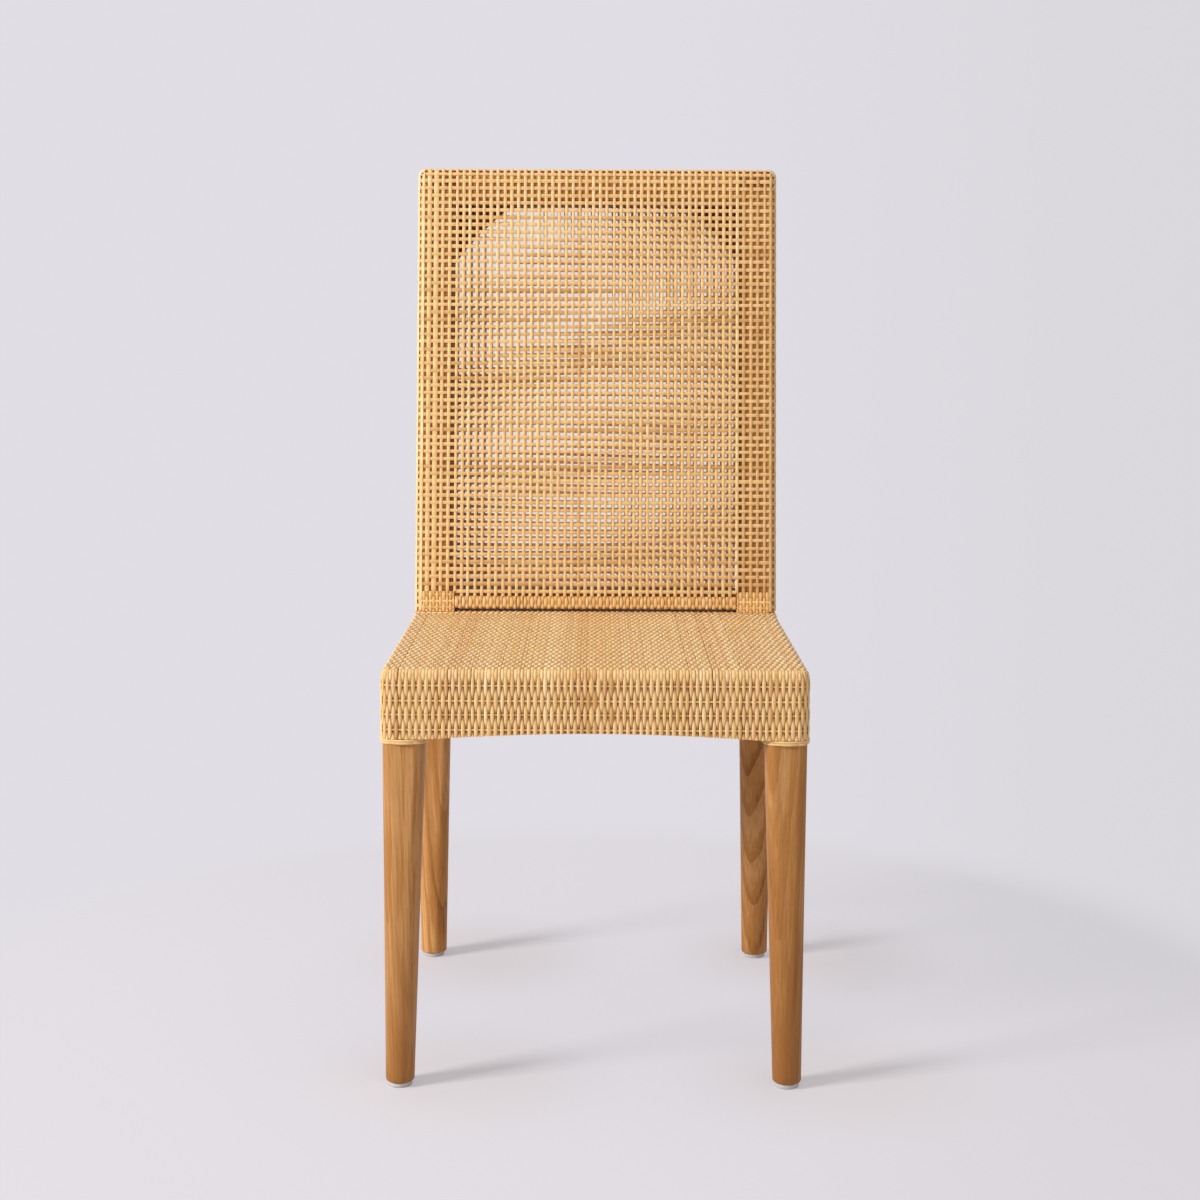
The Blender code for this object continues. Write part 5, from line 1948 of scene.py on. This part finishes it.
@dataclass
class SeatCane:
    """The close weave of the seat and its four aprons, laid out as one belt."""

    sizes: ChairSizes
    cane: Material
    pitch: float = 0.003634
    row_pitch: float = 0.01627
    seat_row_pitch: float = 0.0139
    first_row: float = 0.0108
    rib: float = 0.0021
    apron_ribs: int = 4
    rim_row: float = 4.1
    thickness: float = 0.0010
    strand_stray: float = 0.00013
    rib_stray: float = 0.0004
    lift: float = 0.0006
    sway: float = 0.0002
    join_share: float = 0.3
    rib_thickness_share: float = 0.8
    post_gap: float = 0.002

    def weave(self, first_row: float, row_pitch: float, lightness: float, variety: float, **bends) -> Weave:
        """Lay out the close weave.

        Args:
            first_row: Where rib 0 lies, up the belt.
            row_pitch: The ribs' distance apart.
            lightness: How light its upright strands are.
            variety: How much they differ.
            **bends: How the upright strands widen, narrow and dive at the ribs.

        Returns:
            The weave, whose strand 0 is at the middle of the front.
        """
        look = {"lightness": lightness, "variety": variety, "uneven": 0.08, "bunched": 0.08}
        columns = StrandSet(0.0, self.pitch, self.pitch, Faults.SEAT, self.strand_stray, **look)
        rib_look = {"lightness": 0.24, "variety": 0.08}
        rows = StrandSet(first_row, row_pitch, self.rib, Faults.SEAT_RIBS, self.rib_stray, **rib_look)
        # The close strands take full painted shade where they dive.
        faults = {"stain": 1.0, "sway": self.sway, "flat_at": self.rim_row}
        return Weave(columns, rows, self.thickness, self.lift, 0.0, **faults, **bends)

    def ribs(self, weave: Weave, numbers, start: float, end: float, surface: Surface) -> Piece:
        """Lay the level strands that the close ones ride over.

        Args:
            weave: The layout.
            numbers: The ribs' numbers.
            start: Where they start along u.
            end: Where they end.
            surface: The sheet.

        Returns:
            The ribs.
        """
        wide = StrandSet(0.0, self.pitch * 2, self.pitch, Faults.WIDE)
        thickness = self.thickness * self.rib_thickness_share
        # The ribs take no painted shade.
        layout = Weave(wide, weave.rows, thickness, 0.0, 0.0, stain=0.0)
        ends = wide.number_at(start), wide.number_at(end)
        return lay(layout.level(numbers, *ends, Rings.STRAIGHT), surface, Fibres.RIBS)

    def apron(self, name: str, weave: Weave, low: float, high: float) -> Piece:
        """Weave a stretch of the belt.

        Args:
            name: The apron's name, also its node's.
            weave: The layout.
            low: Where the stretch starts, in metres round the belt.
            high: Where it ends.

        Returns:
            The apron, not yet joined to another stretch.
        """
        belt = ApronBelt(self.sizes)
        first, last = low / self.pitch + self.join_share, high / self.pitch - self.join_share
        numbers = np.arange(ceil(first), floor(last) + 1)
        at = weave.columns.place(numbers.astype(float))
        front = "front" in name
        starts = weave.rows.number_at(belt.bottom(at) if front else np.zeros(len(at)))
        ends = weave.rows.number_at(belt.ends(at))
        strands = weave.upright(numbers, starts, ends, Rings.TIGHT)
        upright = lay(strands, belt, Fibres.APRON)
        return joined([upright, self.ribs(weave, range(self.apron_ribs), low, high, belt)])

    def aprons(self, weave: Weave) -> None:
        """Weave the four aprons.

        Args:
            weave: The layout.
        """
        belt = ApronBelt(self.sizes)
        front, corner, side, rear_corner, rear = belt.legs_of_path
        turn = front + corner
        made = self.apron("front_apron_cane", weave, -turn, turn)
        install(made, "front_apron_cane", self.cane, "cane", "front_apron_cane")
        for which in Side:
            name = f"{which.word}_apron_cane"
            span = sorted((which.value * turn, which.value * (turn + side)))
            made = self.apron(name, weave, *span)
            install(made, name, self.cane, "cane", name)
        end = turn + side + rear_corner + rear
        halves = [
            self.apron("rear_apron_cane", weave, turn + side, end),
            self.apron("rear_apron_half", weave, -end, -turn - side),
        ]
        install(joined(halves), "rear_apron_cane", self.cane, "cane", "rear_apron_cane")

    def seat(self, weave: Weave) -> None:
        """Weave the top of the seat, notched round the posts.

        Args:
            weave: The aprons' layout, whose strands run on into the seat's closer ribs.
        """
        sizes = self.sizes
        surface = SeatFace(sizes)
        rows_before = weave.rows.number_at(surface.start)
        first_row = surface.start - rows_before * self.seat_row_pitch
        bends = {"spread": 0.20, "narrow": -0.10, "dive_power": 1.7}
        weave = self.weave(first_row, self.seat_row_pitch, lightness=0.78, variety=0.07, **bends)
        front_edge = sizes.front_y + sizes.seat_roll
        notch_y = sizes.back_y + sizes.skin_inset - sizes.clearance
        last_y = sizes.rear_y - sizes.small_roll - sizes.clearance
        ends = {y: weave.rows.number_at(surface.start + y - front_edge) for y in (notch_y, last_y)}
        inner = floor((sizes.post_inner_x - self.post_gap) / self.pitch)
        outer = floor((surface.reach - self.pitch / 2) / self.pitch)
        middle = np.arange(-inner, inner + 1)
        beside = np.concatenate([np.arange(-outer, -inner), np.arange(inner + 1, outer + 1)])
        begin = weave.rows.number_at(surface.start)
        begin_beside = weave.rows.number_at(surface.start + surface.corner_shift(beside * self.pitch))
        parts = [
            lay(weave.upright(middle, begin, ends[last_y]), surface, Fibres.SEAT_MIDDLE),
            lay(weave.upright(beside, begin_beside, ends[notch_y]), surface, Fibres.SEAT_BESIDE),
        ]
        wide_rows = range(ceil(begin), floor(ends[notch_y]) + 1)
        narrow_rows = range(floor(ends[notch_y]) + 1, floor(ends[last_y]) + 1)
        parts.append(self.ribs(weave, wide_rows, -surface.reach, surface.reach, surface))
        reach = sizes.post_inner_x - sizes.clearance
        parts.append(self.ribs(weave, narrow_rows, -reach, reach, surface))
        install(joined(parts), "seat_top_cane", self.cane, "cane", "seat_top_cane")

    def build(self) -> None:
        """Build the seat and its aprons."""
        bends = {"spread": 0.20, "spread_power": 0.6, "narrow": -0.04, "dive_power": 3.4}
        weave = self.weave(self.first_row, self.row_pitch, lightness=0.47, variety=0.13, **bends)
        self.aprons(weave)
        self.seat(weave)


# The studio


@dataclass(frozen=True)
class Lamp:
    """A square soft light: where it hangs, what it points at, its watts and the length of its side."""

    name: str
    place: Triple
    aim: Triple
    power: float
    size: float

    def hang(self) -> None:
        """Put the lamp in its place."""
        nothing_selected()
        turn = (Vector(self.aim) - Vector(self.place)).to_track_quat("-Z", "Y").to_euler()
        bpy.ops.object.light_add(type="AREA", location=self.place, rotation=turn)
        made = bpy.context.object
        made.name = self.name
        made.data.energy = self.power
        made.data.size = self.size


LAMPS = (
    Lamp("key_light", place=(-3.85, -1.95, 2.55), aim=(0.0, 0.0, 0.45), power=235.0, size=1.1),
    Lamp("fill_light", place=(1.4, -3.0, 1.5), aim=(0.0, 0.0, 0.5), power=9.0, size=2.0),
    Lamp("top_light", place=(0.2, -0.3, 3.2), aim=(0.1, 0.0, 0.5), power=18.0, size=2.5),
)


@dataclass(frozen=True)
class Studio:
    """A pale seamless floor, soft light from the left front, and the camera."""

    backdrop: Triple = (0.748, 0.728, 0.778)
    # The backdrop's darker colour on the right: painted shade.
    backdrop_right: Triple = (0.705, 0.685, 0.728)
    right_from: float = -0.02
    right_to: float = 0.30
    floor_radius: float = 9.0
    floor_tint: Triple = (0.708, 0.655, 0.664)
    evenness: float = 0.79
    evenness_at_feet: float = 0.44
    feet: Triple = (0.2235, 0.233, 0.0)
    beside_feet: Triple = (0.06, -0.01, 0.0)
    near_feet: float = 0.04
    off_feet: float = 0.22
    fade_from: float = 0.36
    fade_to: float = 1.00
    world_strength: float = 0.42
    focal_length: float = 61.876
    camera_place: Triple = (0.0005, -2.5134, 0.8655)
    camera_tilt: float = 3.573
    camera_roll: float = 0.2475
    shift_x: float = 0.0028
    shift_y: float = -0.1336
    sensor_width: float = 36.0
    room_tint: Triple = (1.0, 0.985, 0.985)
    floor_sides: int = 96
    floor_roughness: float = 0.9
    floor_specular: float = 0.1
    least_ahead: float = 0.01

    def camera(self) -> None:
        """Place the camera at the photograph's angle."""
        nothing_selected()
        turn = (radians(90.0 - self.camera_tilt), 0.0, 0.0)
        bpy.ops.object.camera_add(location=self.camera_place, rotation=turn)
        made = bpy.context.object
        made.name = "photo_camera"
        rolled = Matrix.Rotation(radians(self.camera_roll), 4, "Z")
        made.matrix_world = made.matrix_world @ rolled
        made.data.lens = self.focal_length
        made.data.sensor_width = self.sensor_width
        made.data.shift_x = self.shift_x
        made.data.shift_y = self.shift_y
        made.data.dof.use_dof = False
        bpy.context.scene.camera = made

    def backdrop_seen(self, graph: Graph, across, ahead) -> Socket:
        """Give the backdrop's colour, which is a little darker on the right: painted shade.

        Args:
            graph: The graph of the floor or the world.
            across: How far to the right of the camera a place lies.
            ahead: How far ahead of the camera it lies.

        Returns:
            The colour.
        """
        away = graph.sum("MAXIMUM", graph.sum("ABSOLUTE", ahead), self.least_ahead)
        slope = graph.sum("DIVIDE", across, away)
        share = graph.spread(slope, self.right_from, self.right_to)
        return graph.mix(share, coloured(self.backdrop), coloured(self.backdrop_right))

    def seen_rays(self, graph: Graph) -> Socket:
        """Give 1 for rays that show the backdrop and 0 for rays that gather light."""
        path = graph.add("LightPath").outputs
        seen = graph.sum("MAXIMUM", path["Is Camera Ray"], path["Is Glossy Ray"])
        return graph.sum("MAXIMUM", seen, path["Is Transmission Ray"])

    def sheet_material(self) -> Material:
        """Make the floor's material, which fades into the backdrop away from the chair."""
        made, graph, shader = new_surface("studio_floor")
        shader.inputs["Base Color"].default_value = coloured(self.floor_tint)
        shader.inputs["Roughness"].default_value = self.floor_roughness
        shader.inputs["Specular IOR Level"].default_value = self.floor_specular
        place = graph.add("TexCoord").outputs["Object"]
        shifted = graph.add("VectorMath", {0: place, 1: self.beside_feet}, operation="SUBTRACT").outputs[0]
        folded = graph.add("VectorMath", {0: shifted}, operation="ABSOLUTE").outputs[0]
        to_foot = graph.add("VectorMath", {0: folded, 1: self.feet}, operation="DISTANCE").outputs["Value"]
        near = graph.spread(to_foot, self.near_feet, self.off_feet, self.evenness_at_feet, self.evenness)
        offset = graph.add("VectorMath", {0: place}, operation="LENGTH").outputs["Value"]
        far = graph.sum("MAXIMUM", near, graph.spread(offset, self.fade_from, self.fade_to))
        parts = graph.add("SeparateXYZ", {0: place}).outputs
        ahead = graph.sum("SUBTRACT", parts["Y"], self.camera_place[1])
        colour = self.backdrop_seen(graph, parts["X"], ahead)
        glow = graph.add("Emission", {"Color": colour, "Strength": 1.0})
        factor = graph.sum("MULTIPLY", far, self.seen_rays(graph))
        mixed = graph.add("MixShader", {0: factor, 1: shader.outputs[0], 2: glow.outputs[0]})
        output = made.node_tree.nodes["Material Output"]
        made.node_tree.links.new(mixed.outputs[0], output.inputs["Surface"])
        return made

    def floor(self) -> None:
        """Lay the floor, a wide round sheet."""
        nothing_selected()
        outline = {"vertices": self.floor_sides, "radius": self.floor_radius}
        bpy.ops.mesh.primitive_circle_add(**outline, fill_type="NGON")
        made = bpy.context.object
        made.name = "studio_floor"
        made.data.materials.append(self.sheet_material())

    def world(self) -> None:
        """Light the room evenly, with the backdrop's colour where the camera looks."""
        world = bpy.data.worlds.new("studio_world")
        world.use_nodes = True
        bpy.context.scene.world = world
        graph = Graph(world.node_tree)
        even = world.node_tree.nodes["Background"]
        even.inputs["Color"].default_value = coloured(self.room_tint)
        even.inputs["Strength"].default_value = self.world_strength
        parts = graph.add("SeparateXYZ", {0: graph.add("TexCoord").outputs["Generated"]}).outputs
        colour = self.backdrop_seen(graph, parts["X"], parts["Y"])
        shown = graph.add("Background", {"Color": colour, "Strength": 1.0})
        sockets = {0: self.seen_rays(graph), 1: even.outputs[0], 2: shown.outputs[0]}
        mixed = graph.add("MixShader", sockets)
        output = world.node_tree.nodes["World Output"]
        world.node_tree.links.new(mixed.outputs[0], output.inputs["Surface"])

    def build(self) -> None:
        """Set up the whole studio."""
        self.camera()
        self.floor()
        self.world()
        for lamp in LAMPS:
            lamp.hang()
        bpy.context.scene.view_settings.view_transform = "Standard"


def main() -> None:
    """Build the studio and dress the chair, sub-assembly by sub-assembly."""
    logging.basicConfig(level=logging.INFO, format="%(name)s %(message)s")
    sizes = ChairSizes.from_frame()
    Studio().build()
    grain = PlankGrain().build()
    wear = StrandWear().build()
    cane = CaneFinish().make("split_cane", wear)
    warm_cane = WARM_CANE.make("warm_split_cane", wear)
    LegSet(sizes, grain, cane).build()
    SeatFrame(sizes, grain).build()
    SeatCane(sizes, cane).build()
    BackCane(sizes, cane, warm_cane).build()
    nothing_selected()


if __name__ == "__main__":
    main()
